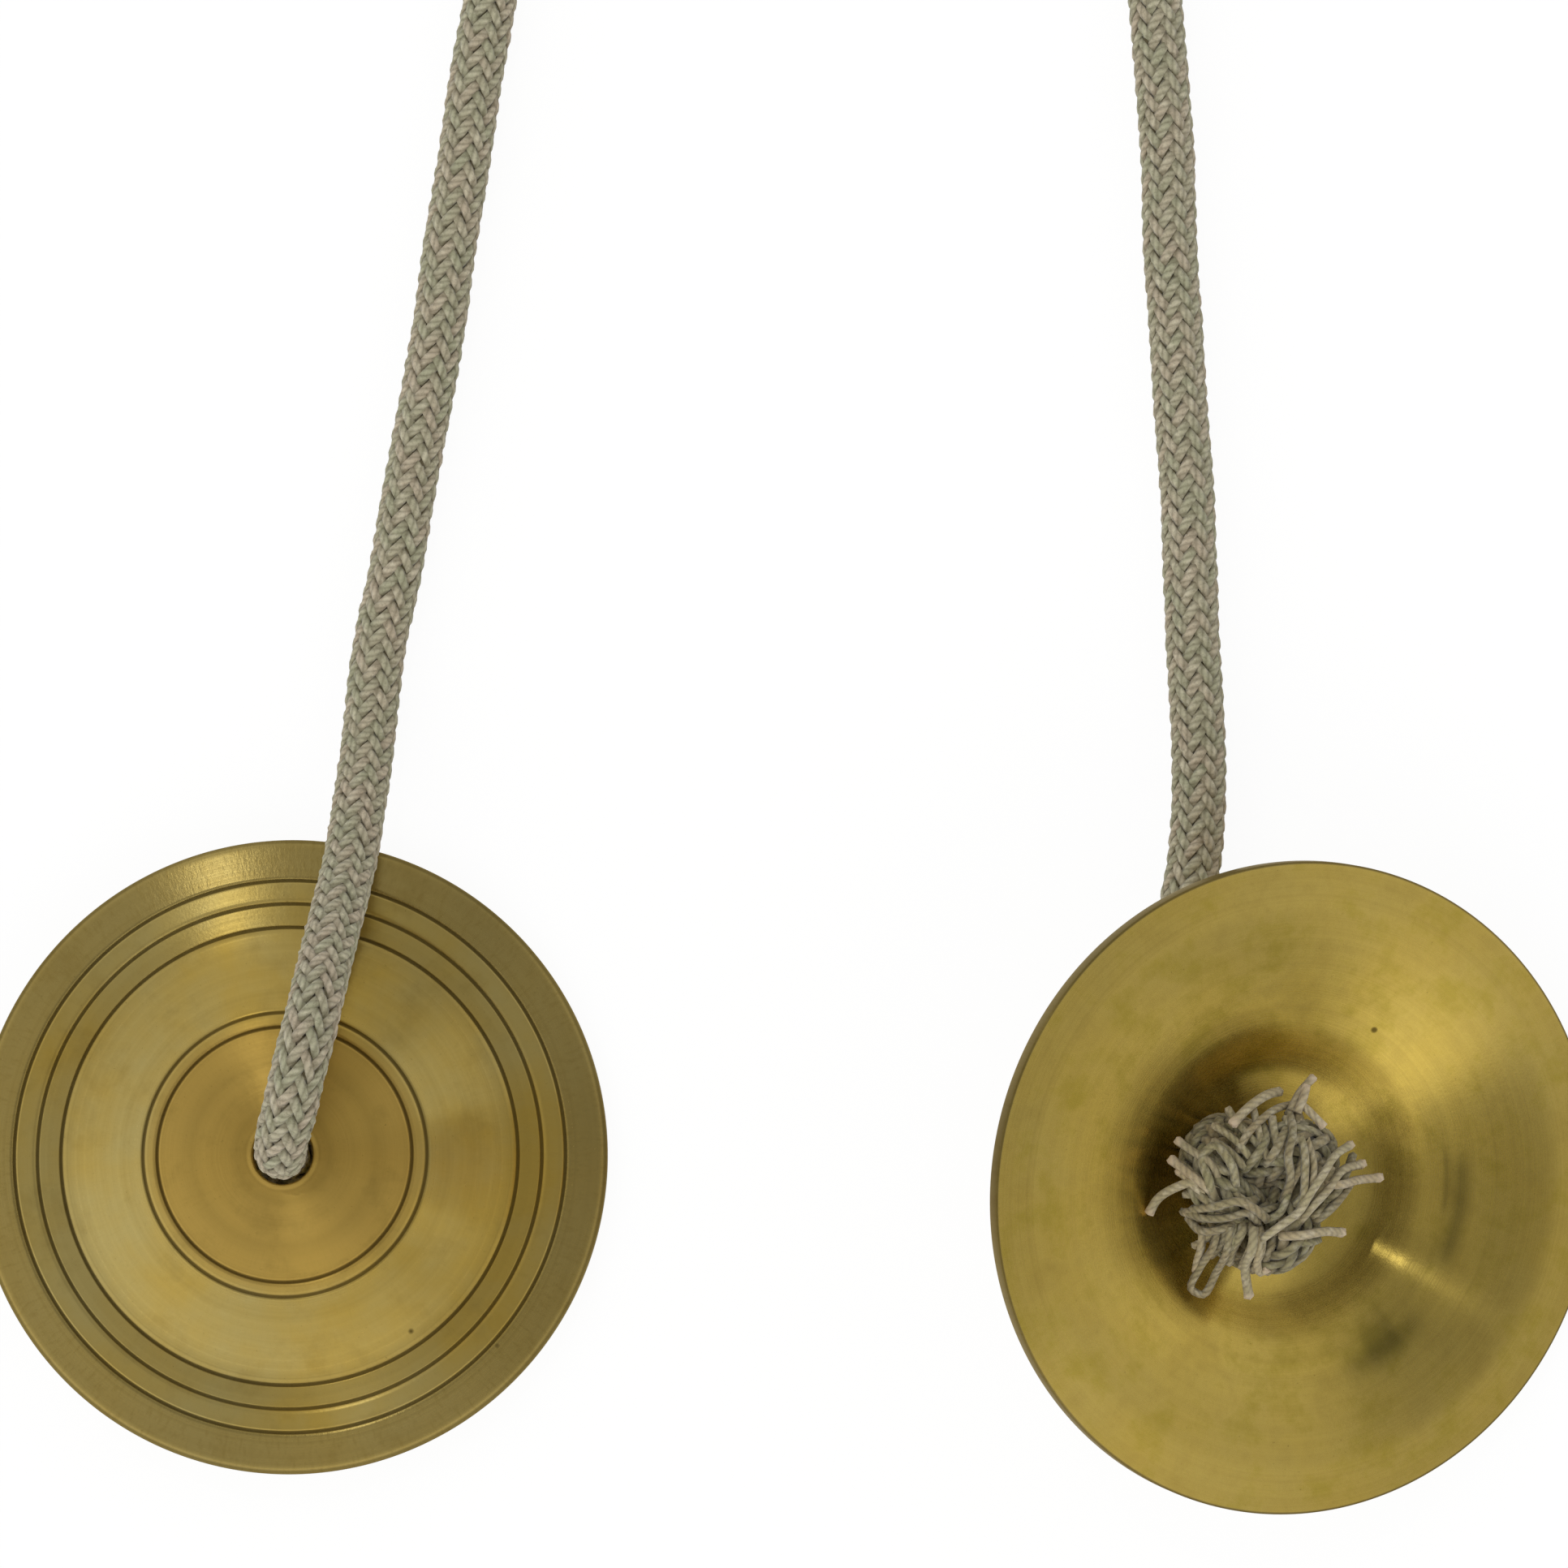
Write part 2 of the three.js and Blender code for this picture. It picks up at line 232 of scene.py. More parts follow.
@dataclass(frozen=True)
class NodeKit:
    """Short ways to place and join shader nodes in one tree."""

    tree: bpy.types.NodeTree

    def add(self, kind: str, **values: Any) -> bpy.types.Node:
        """Adds a node and sets its properties and inputs.

        Args:
            kind: the node's type name.
            **values: properties by name, and inputs as in_ and the socket's name.

        Returns:
            The new node.
        """
        node = self.tree.nodes.new(kind)
        for key, value in values.items():
            if key.startswith("in_"):
                self.feed(node.inputs[key[3:].replace("_", " ")], value)
            else:
                setattr(node, key, value)
        return node

    def feed(self, socket: bpy.types.NodeSocket, value: Any) -> None:
        """Links a socket to another, or sets its value.

        Args:
            socket: the input to feed.
            value: a socket or a plain value.
        """
        if isinstance(value, bpy.types.NodeSocket):
            self.tree.links.new(value, socket)
        else:
            socket.default_value = value

    def math(self, operation: str, *values: Any, clamp: bool = False) -> bpy.types.NodeSocket:
        """Adds a math node.

        Args:
            operation: the node's operation.
            *values: numbers or sockets for its inputs.
            clamp: whether the result is kept from 0 to 1.

        Returns:
            The result's socket.
        """
        node = self.add("ShaderNodeMath", operation=operation, use_clamp=clamp)
        for socket, value in zip(node.inputs, values):
            self.feed(socket, value)
        return node.outputs[0]

    def mix(self, share: Any, first: Any, second: Any) -> bpy.types.NodeSocket:
        """Mixes two colours.

        Args:
            share: how much of the second one shows.
            first: a colour or socket.
            second: a colour or socket.

        Returns:
            The mixed colour's socket.
        """
        node = self.add("ShaderNodeMix", data_type="RGBA")
        self.feed(node.inputs[0], share)
        self.feed(node.inputs[6], first)
        self.feed(node.inputs[7], second)
        return node.outputs[2]

    def coats(self, base: Any, *coats: tuple[Any, Any, Any]) -> Any:
        """Lays colours over one another.

        Args:
            base: the colour under them all.
            *coats: where each one lies, how much of it shows there, and its colour.

        Returns:
            The finished colour's socket.
        """
        for mask, share, over in coats:
            base = self.mix(self.math("MULTIPLY", mask, share), base, over)
        return base

    def attribute(self, name: str) -> bpy.types.NodeSocket:
        """Reads a number that the mesh holds at each point."""
        return self.add("ShaderNodeAttribute", attribute_name=name).outputs["Fac"]

    def noise(
        self, vector: Any, scale: float, detail: float = 3.0, rough: float = 0.55
    ) -> bpy.types.NodeSocket:
        """Adds a noise texture.

        Args:
            vector: the place that it is read at.
            scale: how fine it is.
            detail: how many finer layers lie on it.
            rough: how strong those layers are.

        Returns:
            The value's socket.
        """
        node = self.add(
            "ShaderNodeTexNoise", in_Vector=vector, in_Scale=scale, in_Detail=detail, in_Roughness=rough
        )
        return node.outputs["Fac"]

    def ease(self, value: Any, low: float, high: float) -> bpy.types.NodeSocket:
        """Eases from 0 at low to 1 at high.

        Args:
            value: a number or socket.
            low: where the step starts.
            high: where the step ends.

        Returns:
            The eased share's socket.
        """
        node = self.add("ShaderNodeMapRange", interpolation_type="SMOOTHSTEP", in_Value=value)
        node.inputs["From Min"].default_value = low
        node.inputs["From Max"].default_value = high
        return node.outputs[0]

    def ramp(self, value: Any, low: float, high: float) -> bpy.types.NodeSocket:
        """Maps low to 0 and high to 1, kept within 0 and 1."""
        node = self.add("ShaderNodeMapRange", in_Value=value, in_From_Min=low, in_From_Max=high)
        return node.outputs[0]


def colour(red: int, green: int, blue: int) -> Colour:
    """Turns a display colour into the linear colour that shaders use.

    Args:
        red: its red part, from 0 to 255.
        green: its green part.
        blue: its blue part.

    Returns:
        The linear colour, opaque.
    """
    linear = []
    for value in (red, green, blue):
        share = value / 255
        linear.append(share / 12.92 if share <= 0.04045 else ((share + 0.055) / 1.055) ** 2.4)
    return (*linear, 1.0)


def new_material(name: str) -> tuple[bpy.types.Material, NodeKit, bpy.types.Node]:
    """Makes a node material with one Principled shader.

    Args:
        name: the material's name.

    Returns:
        The material, a kit for its tree and the Principled node.
    """
    material = bpy.data.materials.new(name)
    material.use_nodes = True
    kit = NodeKit(material.node_tree)
    shader = next(n for n in material.node_tree.nodes if n.type == "BSDF_PRINCIPLED")
    return material, kit, shader


@dataclass(frozen=True)
class TurnedBrass:
    """Dull polished brass, turned on a lathe, with dirt and painted shade in its grooves.

    A fade holds the radii, in millimetres, at which a zone starts and is full. smoother is taken
    off every roughness, because the fine noises add to it.
    """

    name: str
    body: Colour = colour(193, 174, 108)
    warm: Colour = colour(196, 166, 80)
    # Painted light: the crown is lighter and warmer than the body.
    crown: Colour = colour(213, 176, 88)
    # Painted shade: the brim is darker than the body.
    shaded_brim: Colour = colour(168, 148, 88)
    struck: Colour = colour(182, 158, 76)
    # Painted light: the struck side grows lighter and yellower toward the cup.
    bowl: Colour = colour(212, 184, 86)
    olive: Colour = colour(160, 142, 46)
    tarnish: Colour = colour(148, 124, 60)
    # Painted dark reflections in the bowl.
    dark_reflection: Colour = colour(70, 66, 38)
    # Paints the specks and pits, and the dirt and painted shade in the grooves and on the rim's corners.
    dirt_and_shade: Colour = colour(60, 45, 15)
    crown_fade: tuple[float, float] = (16.0, 13.5)
    brim_fade: tuple[float, float] = (30.2, 30.8)
    bowl_fade: tuple[float, float] = (29.0, 17.5)
    crown_roughness: float = 0.4
    roughness: float = 0.3
    brim_roughness: float = 0.25
    struck_roughness: float = 0.27
    smoother: float = 0.08
    anisotropy: float = 0.96
    quarter_turn: float = 0.25
    ring_stretch: float = 3.0
    strokes_round: float = 70.0
    strokes_across: float = 0.7
    ring_bump: float = 0.06
    bump_reach: float = 0.0002

    def build(self) -> bpy.types.Material:
        """Makes the material from the piece's lathe, dirt, struck and rub attributes. The dirt one holds
        dirt and painted shade, and the rub one painted dark reflections.

        Returns:
            The finished material.
        """
        material, kit, shader = new_material(self.name)
        lathe = kit.add("ShaderNodeAttribute", attribute_name="lathe").outputs["Vector"]
        dirt_and_shade, struck, reflection = (kit.attribute(name) for name in ("dirt_and_shade", "struck", "reflection"))
        domed = kit.math("SUBTRACT", 1.0, struck)
        parts = kit.add("ShaderNodeSeparateXYZ", in_Vector=lathe)
        flat = kit.add("ShaderNodeCombineXYZ", in_X=parts.outputs[0], in_Y=parts.outputs[1]).outputs[0]
        radius = kit.add("ShaderNodeVectorMath", operation="LENGTH", in_Vector=flat).outputs["Value"]
        rise = kit.math("MULTIPLY", parts.outputs[2], self.ring_stretch)
        ring = kit.add("ShaderNodeCombineXYZ", in_X=radius, in_Y=rise).outputs[0]
        fine = kit.noise(ring, scale=3.2, detail=2.0)
        coarse = kit.noise(ring, scale=0.55, detail=2.0)
        cloud = kit.noise(lathe, scale=0.06, detail=4.0, rough=0.6)
        patch = kit.noise(lathe, scale=0.17, detail=5.0, rough=0.65)
        speck = kit.noise(lathe, scale=2.6, detail=2.0, rough=0.7)
        stroke = self.strokes(kit, flat, radius)
        middle = kit.math("MULTIPLY", kit.ramp(radius, *self.crown_fade), domed)
        edge = kit.math("MULTIPLY", kit.ramp(radius, *self.brim_fade), domed)
        # Painted light, lighter and yellower toward the cup.
        bowl = kit.mix(kit.ramp(radius, *self.bowl_fade), self.struck, self.bowl)
        base = kit.coats(
            kit.mix(kit.ramp(cloud, 0.35, 0.68), self.body, self.warm),
            (struck, 0.75, bowl),
            (kit.math("MULTIPLY", kit.ramp(patch, 0.5, 0.34), struck), 0.5, self.olive),
            # Painted light on the crown.
            (middle, 0.85, self.crown),
            # Painted shade on the brim.
            (edge, 0.75, self.shaded_brim),
            (kit.ramp(patch, 0.52, 0.8), 0.45, self.tarnish),
            (kit.ramp(coarse, 0.4, 0.7), 0.18, self.tarnish),
            (kit.ramp(speck, 0.7, 0.78), 0.35, self.dirt_and_shade),
            (kit.ramp(stroke, 0.5, 0.72), kit.math("MULTIPLY_ADD", edge, 0.3, 0.08), self.tarnish),
            (self.pits(kit, lathe), 0.8, self.dirt_and_shade),
            # Painted dark reflections in the bowl.
            (reflection, 1.0, self.dark_reflection),
            # Dirt and painted shade in the grooves, painted shade on the rim's corners.
            (dirt_and_shade, 1.0, self.dirt_and_shade),
        )
        rough = self.roughness - self.smoother
        for mask, more in (
            (middle, self.crown_roughness - self.roughness),
            (edge, self.brim_roughness - self.roughness),
            (struck, self.struck_roughness - self.roughness),
            (fine, 0.1),
            (speck, 0.06),
            (dirt_and_shade, 0.3),
        ):
            rough = kit.math("MULTIPLY_ADD", mask, more, rough)
        height = kit.math("ADD", fine, kit.math("MULTIPLY", speck, 0.4))
        height = kit.math("MULTIPLY_ADD", stroke, kit.math("MULTIPLY", edge, 0.5), height)
        bump = kit.add(
            "ShaderNodeBump", in_Strength=self.ring_bump, in_Distance=self.bump_reach, in_Height=height
        )
        tangent = kit.add("ShaderNodeTangent", direction_type="UV_MAP", uv_map="turned")
        kit.feed(shader.inputs["Base Color"], base)
        kit.feed(shader.inputs["Roughness"], rough)
        kit.feed(shader.inputs["Normal"], bump.outputs[0])
        kit.feed(shader.inputs["Tangent"], tangent.outputs[0])
        shader.inputs["Metallic"].default_value = 1.0
        shader.inputs["Anisotropic"].default_value = self.anisotropy
        shader.inputs["Anisotropic Rotation"].default_value = self.quarter_turn
        return material

    def strokes(
        self, kit: NodeKit, flat: bpy.types.NodeSocket, radius: bpy.types.NodeSocket
    ) -> bpy.types.NodeSocket:
        """Draws the short strokes of a brush, dense round the axis.

        Args:
            flat: the place across the axis.
            radius: the distance from the axis.

        Returns:
            The strokes' value socket.
        """
        spin = kit.add("ShaderNodeVectorMath", operation="NORMALIZE", in_Vector=flat).outputs[0]
        around = kit.add(
            "ShaderNodeVectorMath", operation="SCALE", in_Vector=spin, in_Scale=self.strokes_round
        ).outputs[0]
        across = kit.add("ShaderNodeCombineXYZ", in_Z=kit.math("MULTIPLY", radius, self.strokes_across))
        place = kit.add("ShaderNodeVectorMath", operation="ADD", in_Vector=around)
        kit.feed(place.inputs[1], across.outputs[0])
        return kit.noise(place.outputs[0], scale=1.0, rough=0.7)

    @staticmethod
    def pits(kit: NodeKit, lathe: bpy.types.NodeSocket) -> bpy.types.NodeSocket:
        """Masks a few small casting pits, far apart.

        Args:
            lathe: the place in the cymbal's own frame.

        Returns:
            The mask's socket.
        """
        cells = kit.add("ShaderNodeTexVoronoi", in_Vector=lathe, in_Scale=0.12)
        chosen = kit.add("ShaderNodeSeparateColor", in_Color=cells.outputs["Color"]).outputs[0]
        near = kit.ramp(cells.outputs["Distance"], 0.055, 0.03)
        return kit.math("MULTIPLY", near, kit.ramp(chosen, 0.6, 0.62))


@dataclass(frozen=True)
class PaintedReflection:
    """A painted dark reflection on the struck side, along an arc seen from above."""

    radius: float
    width: float
    start: float
    end: float
    shade: float
    fade: tuple[float, float] = (0.55, 1.15)

    def at(self, radius: float, azimuth: float) -> float:
        """Finds how dark the mark is at a place.

        Args:
            radius: the distance from the axis.
            azimuth: the compass angle, in degrees.

        Returns:
            The shade, from 0 for clean brass.
        """
        middle, half = (self.start + self.end) / 2, (self.end - self.start) / 2
        off = abs((azimuth - middle + 180.0) % 360.0 - 180.0)
        inside = 1.0 - smooth_step(half * self.fade[0], half * self.fade[1], off)
        return float(self.shade * inside * math.exp(-(((radius - self.radius) / self.width) ** 2)))


@dataclass(frozen=True)
class Turn:
    """A point of the section that is spun, with its dirt and painted shade, and whether the struck
    side holds it.
    """

    radius: float
    height: float
    dirt_and_shade: float = 0.0
    struck: float = 0.0


@dataclass(frozen=True)
class Cotton:
    """Undyed cotton yarn with plies, cut tips, painted shade in its gaps and painted light on its crests."""

    name: str
    green: Colour = colour(196, 195, 163)
    pink: Colour = colour(215, 200, 174)
    pale: Colour = colour(246, 238, 210)
    # The gap colour paints the fibre gaps, and the painted shade between yarns and plies.
    gap: Colour = colour(84, 74, 44)
    cut: Colour = colour(246, 222, 192)
    plies: float = 3.0
    ply_turns: float = 1.0
    ply_bump: float = 0.6
    bump_reach: float = 0.00012
    roughness: float = 0.95
    specular: float = 0.15
    sheen: float = 0.25
    sheen_roughness: float = 0.6

    def build(self) -> bpy.types.Material:
        """Makes the material, which reads the yarn map and the crest, tip and tone attributes.

        Returns:
            The finished material.
        """
        material, kit, shader = new_material(self.name)
        yarn = kit.add("ShaderNodeUVMap", uv_map="yarn").outputs[0]
        parts = kit.add("ShaderNodeSeparateXYZ", in_Vector=yarn)
        crest, tip_and_highlight, tone = (kit.attribute(name) for name in ("crest", "tip_and_highlight", "tone"))
        place = kit.add("ShaderNodeTexCoord").outputs["Object"]
        run = kit.math("MULTIPLY", parts.outputs[1], self.ply_turns)
        turn = kit.math("MULTIPLY_ADD", parts.outputs[0], self.plies, run)
        ply = kit.math("ABSOLUTE", kit.math("SINE", kit.math("MULTIPLY", turn, math.pi)))
        fibre = kit.noise(place, scale=2600.0, rough=0.7)
        cloud = kit.noise(place, scale=260.0)
        mottle = kit.noise(place, scale=850.0, detail=2.0, rough=0.6)
        blush = kit.math("MULTIPLY_ADD", cloud, 0.8, kit.math("MULTIPLY", tone, 0.5))
        shade = kit.math("MULTIPLY", kit.math("SUBTRACT", 1.0, crest, clamp=True), 1.1, clamp=True)
        base = kit.coats(
            kit.mix(kit.ramp(blush, 0.4, 0.9), self.green, self.pink),
            (kit.ramp(mottle, 0.48, 0.72), 0.6, self.pale),
            (kit.ramp(fibre, 0.5, 0.35), 0.3, self.gap),
            # Painted shade: yarns under others, the sides toward the core and the creases between plies.
            (shade, 1.0, self.gap),
            (kit.math("SUBTRACT", 1.0, ply), 0.4, self.gap),
            # The cut colour also lays a painted highlight along frayed yarns in sight.
            (tip_and_highlight, 0.9, self.cut),
        )
        height = kit.math("MULTIPLY_ADD", fibre, 0.8, ply)
        bump = kit.add(
            "ShaderNodeBump", in_Strength=self.ply_bump, in_Distance=self.bump_reach, in_Height=height
        )
        kit.feed(shader.inputs["Base Color"], base)
        kit.feed(shader.inputs["Normal"], bump.outputs[0])
        shader.inputs["Roughness"].default_value = self.roughness
        shader.inputs["Specular IOR Level"].default_value = self.specular
        shader.inputs["Sheen Weight"].default_value = self.sheen
        shader.inputs["Sheen Roughness"].default_value = self.sheen_roughness
        return material


@dataclass
class Cymbal:
    """One turned casting: grooved dome outside, shallow bowl and cup inside."""

    lathe: Lathe
    finish: TurnedBrass
    radius: float = 35.0
    rim_thickness: float = 2.0
    rim_round: float = 0.3
    bevel_rise: float = 1.05
    shoulder_rise: float = 0.52
    crown_drop: float = 3.0
    flare_curl: float = 1.35
    crown_grooves: tuple[float, ...] = (13.9, 15.5)
    shoulder_grooves: tuple[float, ...] = (25.2, 27.8, 30.4)
    groove_width: float = 0.46
    groove_depth: float = 0.24
    # Dirt and painted shade in the grooves; painted shade on the rim's outer corner and lip.
    groove_dirt_and_shade: float = 0.62
    rim_shade: float = 0.35
    lip_shade: float = 0.5
    band_width: float = 4.0
    bowl_depth: float = 6.2
    bowl_curl: float = 1.5
    cup_mouth: float = 14.5
    cup_flare: float = 3.0
    cup_floor: float = 11.6
    hole_radius: float = 3.3
    hole_round: float = 0.2
    # Painted dark reflections on the struck side.
    reflections: tuple[PaintedReflection, ...] = ()
    darkest_reflection: float = 0.9
    outer_step: float = 0.5
    inner_step: float = 0.45
    wall_points: int = 18
    segments: int = 288
    outline: list[Turn] = field(default_factory=list)

    def outer_height(self, radius: float) -> float:
        """Finds the height of the grooved side over the striking face, without its grooves.

        Args:
            radius: the distance from the axis.

        Returns:
            The height.
        """
        crown_edge = self.crown_grooves[-1]
        shoulder_edge = self.shoulder_grooves[0]
        bevel_edge = self.shoulder_grooves[-1]
        bevel = self.rim_thickness + self.bevel_rise
        shoulder = bevel + self.shoulder_rise
        if radius <= crown_edge:
            share = (radius**2 - self.hole_radius**2) / (crown_edge**2 - self.hole_radius**2)
            return self.lathe.height - self.crown_drop * share
        if radius <= shoulder_edge:
            share = (radius - crown_edge) / (shoulder_edge - crown_edge)
            flare = self.lathe.height - self.crown_drop - shoulder
            return shoulder + flare * (1 - share) ** self.flare_curl
        if radius <= bevel_edge:
            return shoulder - self.shoulder_rise * (radius - shoulder_edge) / (bevel_edge - shoulder_edge)
        return bevel - self.bevel_rise * (radius - bevel_edge) / (self.radius - bevel_edge)

    def groove(self, radius: float) -> float:
        """How deep a groove cuts at a radius, from 0 to 1."""
        gap = min(abs(radius - g) for g in self.crown_grooves + self.shoulder_grooves)
        return max(0.0, 1.0 - (2.0 * gap / self.groove_width) ** 2)

    def bowl_height(self, radius: float) -> float:
        """Height of the shallow bowl over the striking face."""
        band = self.radius - self.band_width
        return self.bowl_depth * (max(0.0, band - radius) / (band - self.cup_mouth)) ** self.bowl_curl

    def floor_height(self, radius: float) -> float:
        """Height of the cup's floor, a wall's thickness under the crown."""
        return self.outer_height(radius) - self.lathe.wall

    def inner_line(self) -> list[tuple[float, float]]:
        """Lists the struck side from the rim to the hole: band, bowl, cup wall and floor.

        Returns:
            Each point's radius and height.
        """
        flare = self.cup_mouth + self.cup_flare
        third = (flare - self.cup_floor) / 3.0
        lip = self.radius - self.rim_round
        bowl = [(float(r), self.bowl_height(float(r))) for r in np.arange(lip, flare, -self.inner_step)]
        ends = [
            np.array([flare, self.bowl_height(flare)]),
            np.array([flare - third, self.lead(self.bowl_height, flare, -third)]),
            np.array([self.cup_floor + third, self.lead(self.floor_height, self.cup_floor, third)]),
            np.array([self.cup_floor, self.floor_height(self.cup_floor)]),
        ]
        wall = []
        for s in np.linspace(0.0, 1.0, self.wall_points):
            weights = ((1 - s) ** 3, 3 * s * (1 - s) ** 2, 3 * s * s * (1 - s), s**3)
            wall.append(tuple(sum(w * e for w, e in zip(weights, ends))))
        last = self.hole_radius + self.hole_round
        radii = np.arange(self.cup_floor - self.inner_step, last, -self.inner_step)
        floor = [(float(r), self.floor_height(float(r))) for r in radii]
        return [*bowl, *wall, *floor]

    @staticmethod
    def lead(height: Callable[[float], float], radius: float, run: float) -> float:
        """Height that a straight run with the slope at a radius reaches after it."""
        reach = 0.01
        return height(radius) + run * (height(radius + reach) - height(radius - reach)) / (2 * reach)

    def lay_out(self) -> None:
        """Lists the outline's points, round the section."""
        plain = np.arange(self.hole_radius + self.hole_round, self.radius - self.rim_round, self.outer_step)
        near = [
            g + side * self.groove_width / 2 * k / (ARC_POINTS - 1)
            for g in self.crown_grooves + self.shoulder_grooves
            for side in (-1, 1)
            for k in range(ARC_POINTS)
        ]
        radii = sorted({round(float(r), 4) for r in [*plain, *near]})
        cuts = [self.groove(r) for r in radii]
        top = [
            Turn(r, self.outer_height(r) - self.groove_depth * cut, self.groove_dirt_and_shade * cut**0.5)
            for r, cut in zip(radii, cuts)
        ]
        # Painted shade on the rim's outer corner and on the striking face's lip.
        rim = self.corner(self.radius, self.rim_thickness, -1, -1, self.rim_round, 90.0, self.rim_shade)
        lip = self.corner(self.radius, 0.0, -1, 1, self.rim_round / 2, 0.0, self.lip_shade)
        inner = [Turn(float(r), float(h), struck=1.0) for r, h in self.inner_line()]
        under = self.floor_height(self.hole_radius)
        low = self.corner(self.hole_radius, under, 1, 1, self.hole_round, 270.0)
        high = self.corner(self.hole_radius, self.lathe.height, 1, -1, self.hole_round, 180.0)
        self.outline = [*top, *rim, *lip, *inner, *low, *high]

    @staticmethod
    def corner(
        radius: float, height: float, in_r: int, in_h: int, size: float, start: float, dirt_and_shade: float = 0.0
    ) -> list[Turn]:
        """Rounds one corner of the outline, turning clockwise from a start angle.

        Args:
            radius: the corner's radius.
            height: the corner's height.
            in_r: which way the body lies from it, outwards 1 or inwards -1.
            in_h: which way the body lies from it, up 1 or down -1.
            size: how far the rounding reaches.
            start: the angle of the arc's first point, in degrees.
            dirt_and_shade: how much painted shade the corner gets.

        Returns:
            The arc's points.
        """
        centre_r = radius + in_r * size
        centre_h = height + in_h * size
        points = []
        for k in range(ARC_POINTS):
            angle = math.radians(start - 90.0 * k / (ARC_POINTS - 1))
            points.append(Turn(centre_r + size * math.cos(angle), centre_h + size * math.sin(angle), dirt_and_shade))
        return points

    def build(self) -> bpy.types.Object:
        """Spins the outline round the axis and puts it in place.

        Returns:
            The dressed cymbal.
        """
        self.lay_out()
        work = bmesh.new()
        dirt_and_shade_layer = work.verts.layers.float.new("dirt_and_shade")
        struck_layer = work.verts.layers.float.new("struck")
        verts = []
        for turn in self.outline:
            vert = work.verts.new((turn.radius, 0.0, turn.height))
            vert[dirt_and_shade_layer] = turn.dirt_and_shade
            vert[struck_layer] = turn.struck
            verts.append(vert)
        edges = [work.edges.new((a, b)) for a, b in zip(verts, verts[1:] + verts[:1])]
        bmesh.ops.spin(
            work, geom=verts + edges, cent=(0, 0, 0), axis=(0, 0, 1), dvec=(0, 0, 0),
            angle=TAU, steps=self.segments, use_merge=True,
        )
        bmesh.ops.recalc_face_normals(work, faces=work.faces)
        lathe_layer = work.verts.layers.float_vector.new("lathe")
        for vert in work.verts:
            vert[lathe_layer] = vert.co
        self.unwrap(work)
        # Painted dark reflections, on the struck side only.
        reflection_layer = work.verts.layers.float.new("reflection")
        turned = self.lathe.matrix.to_3x3()
        for vert in work.verts:
            seen = turned @ vert.co
            azimuth = math.degrees(math.atan2(seen.y, seen.x))
            reach = math.hypot(vert.co.x, vert.co.y)
            shade = min(self.darkest_reflection, sum(reflection.at(reach, azimuth) for reflection in self.reflections))
            vert[reflection_layer] = vert[struck_layer] * shade
        bmesh.ops.transform(work, matrix=self.lathe.matrix, verts=work.verts)
        piece = piece_from(work, f"turned_cymbal_{self.lathe.side.value}")
        piece.data.materials.append(self.finish.build())
        return piece

    @staticmethod
    def unwrap(work: bmesh.types.BMesh) -> None:
        """Maps the angle round the axis to U and the way across the section to V.

        Args:
            work: the spun shape, in the cymbal's own frame.
        """
        uv = work.loops.layers.uv.new("turned")
        for face in work.faces:
            angles = [math.atan2(loop.vert.co.y, loop.vert.co.x) / TAU for loop in face.loops]
            wide = max(angles) - min(angles) > 0.5
            for loop, angle in zip(face.loops, angles):
                turned = angle + 1.0 if wide and angle < 0.0 else angle
                across = math.hypot(loop.vert.co.x, loop.vert.co.y) - loop.vert.co.z
                loop[uv].uv = (turned, across * UV_PER_MM)


# Painted dark reflections in the right cymbal's bowl.
BOWL_REFLECTIONS = (
    PaintedReflection(radius=20.4, width=0.9, start=-30.0, end=14.0, shade=0.5),
    PaintedReflection(radius=19.0, width=0.35, start=-12.0, end=16.0, shade=0.35),
    PaintedReflection(radius=21.4, width=1.5, start=-78.0, end=-46.0, shade=0.34),
    PaintedReflection(radius=20.2, width=2.6, start=-70.0, end=-56.0, shade=0.3),
    PaintedReflection(radius=18.6, width=3.4, start=-64.0, end=-18.0, shade=0.16),
)


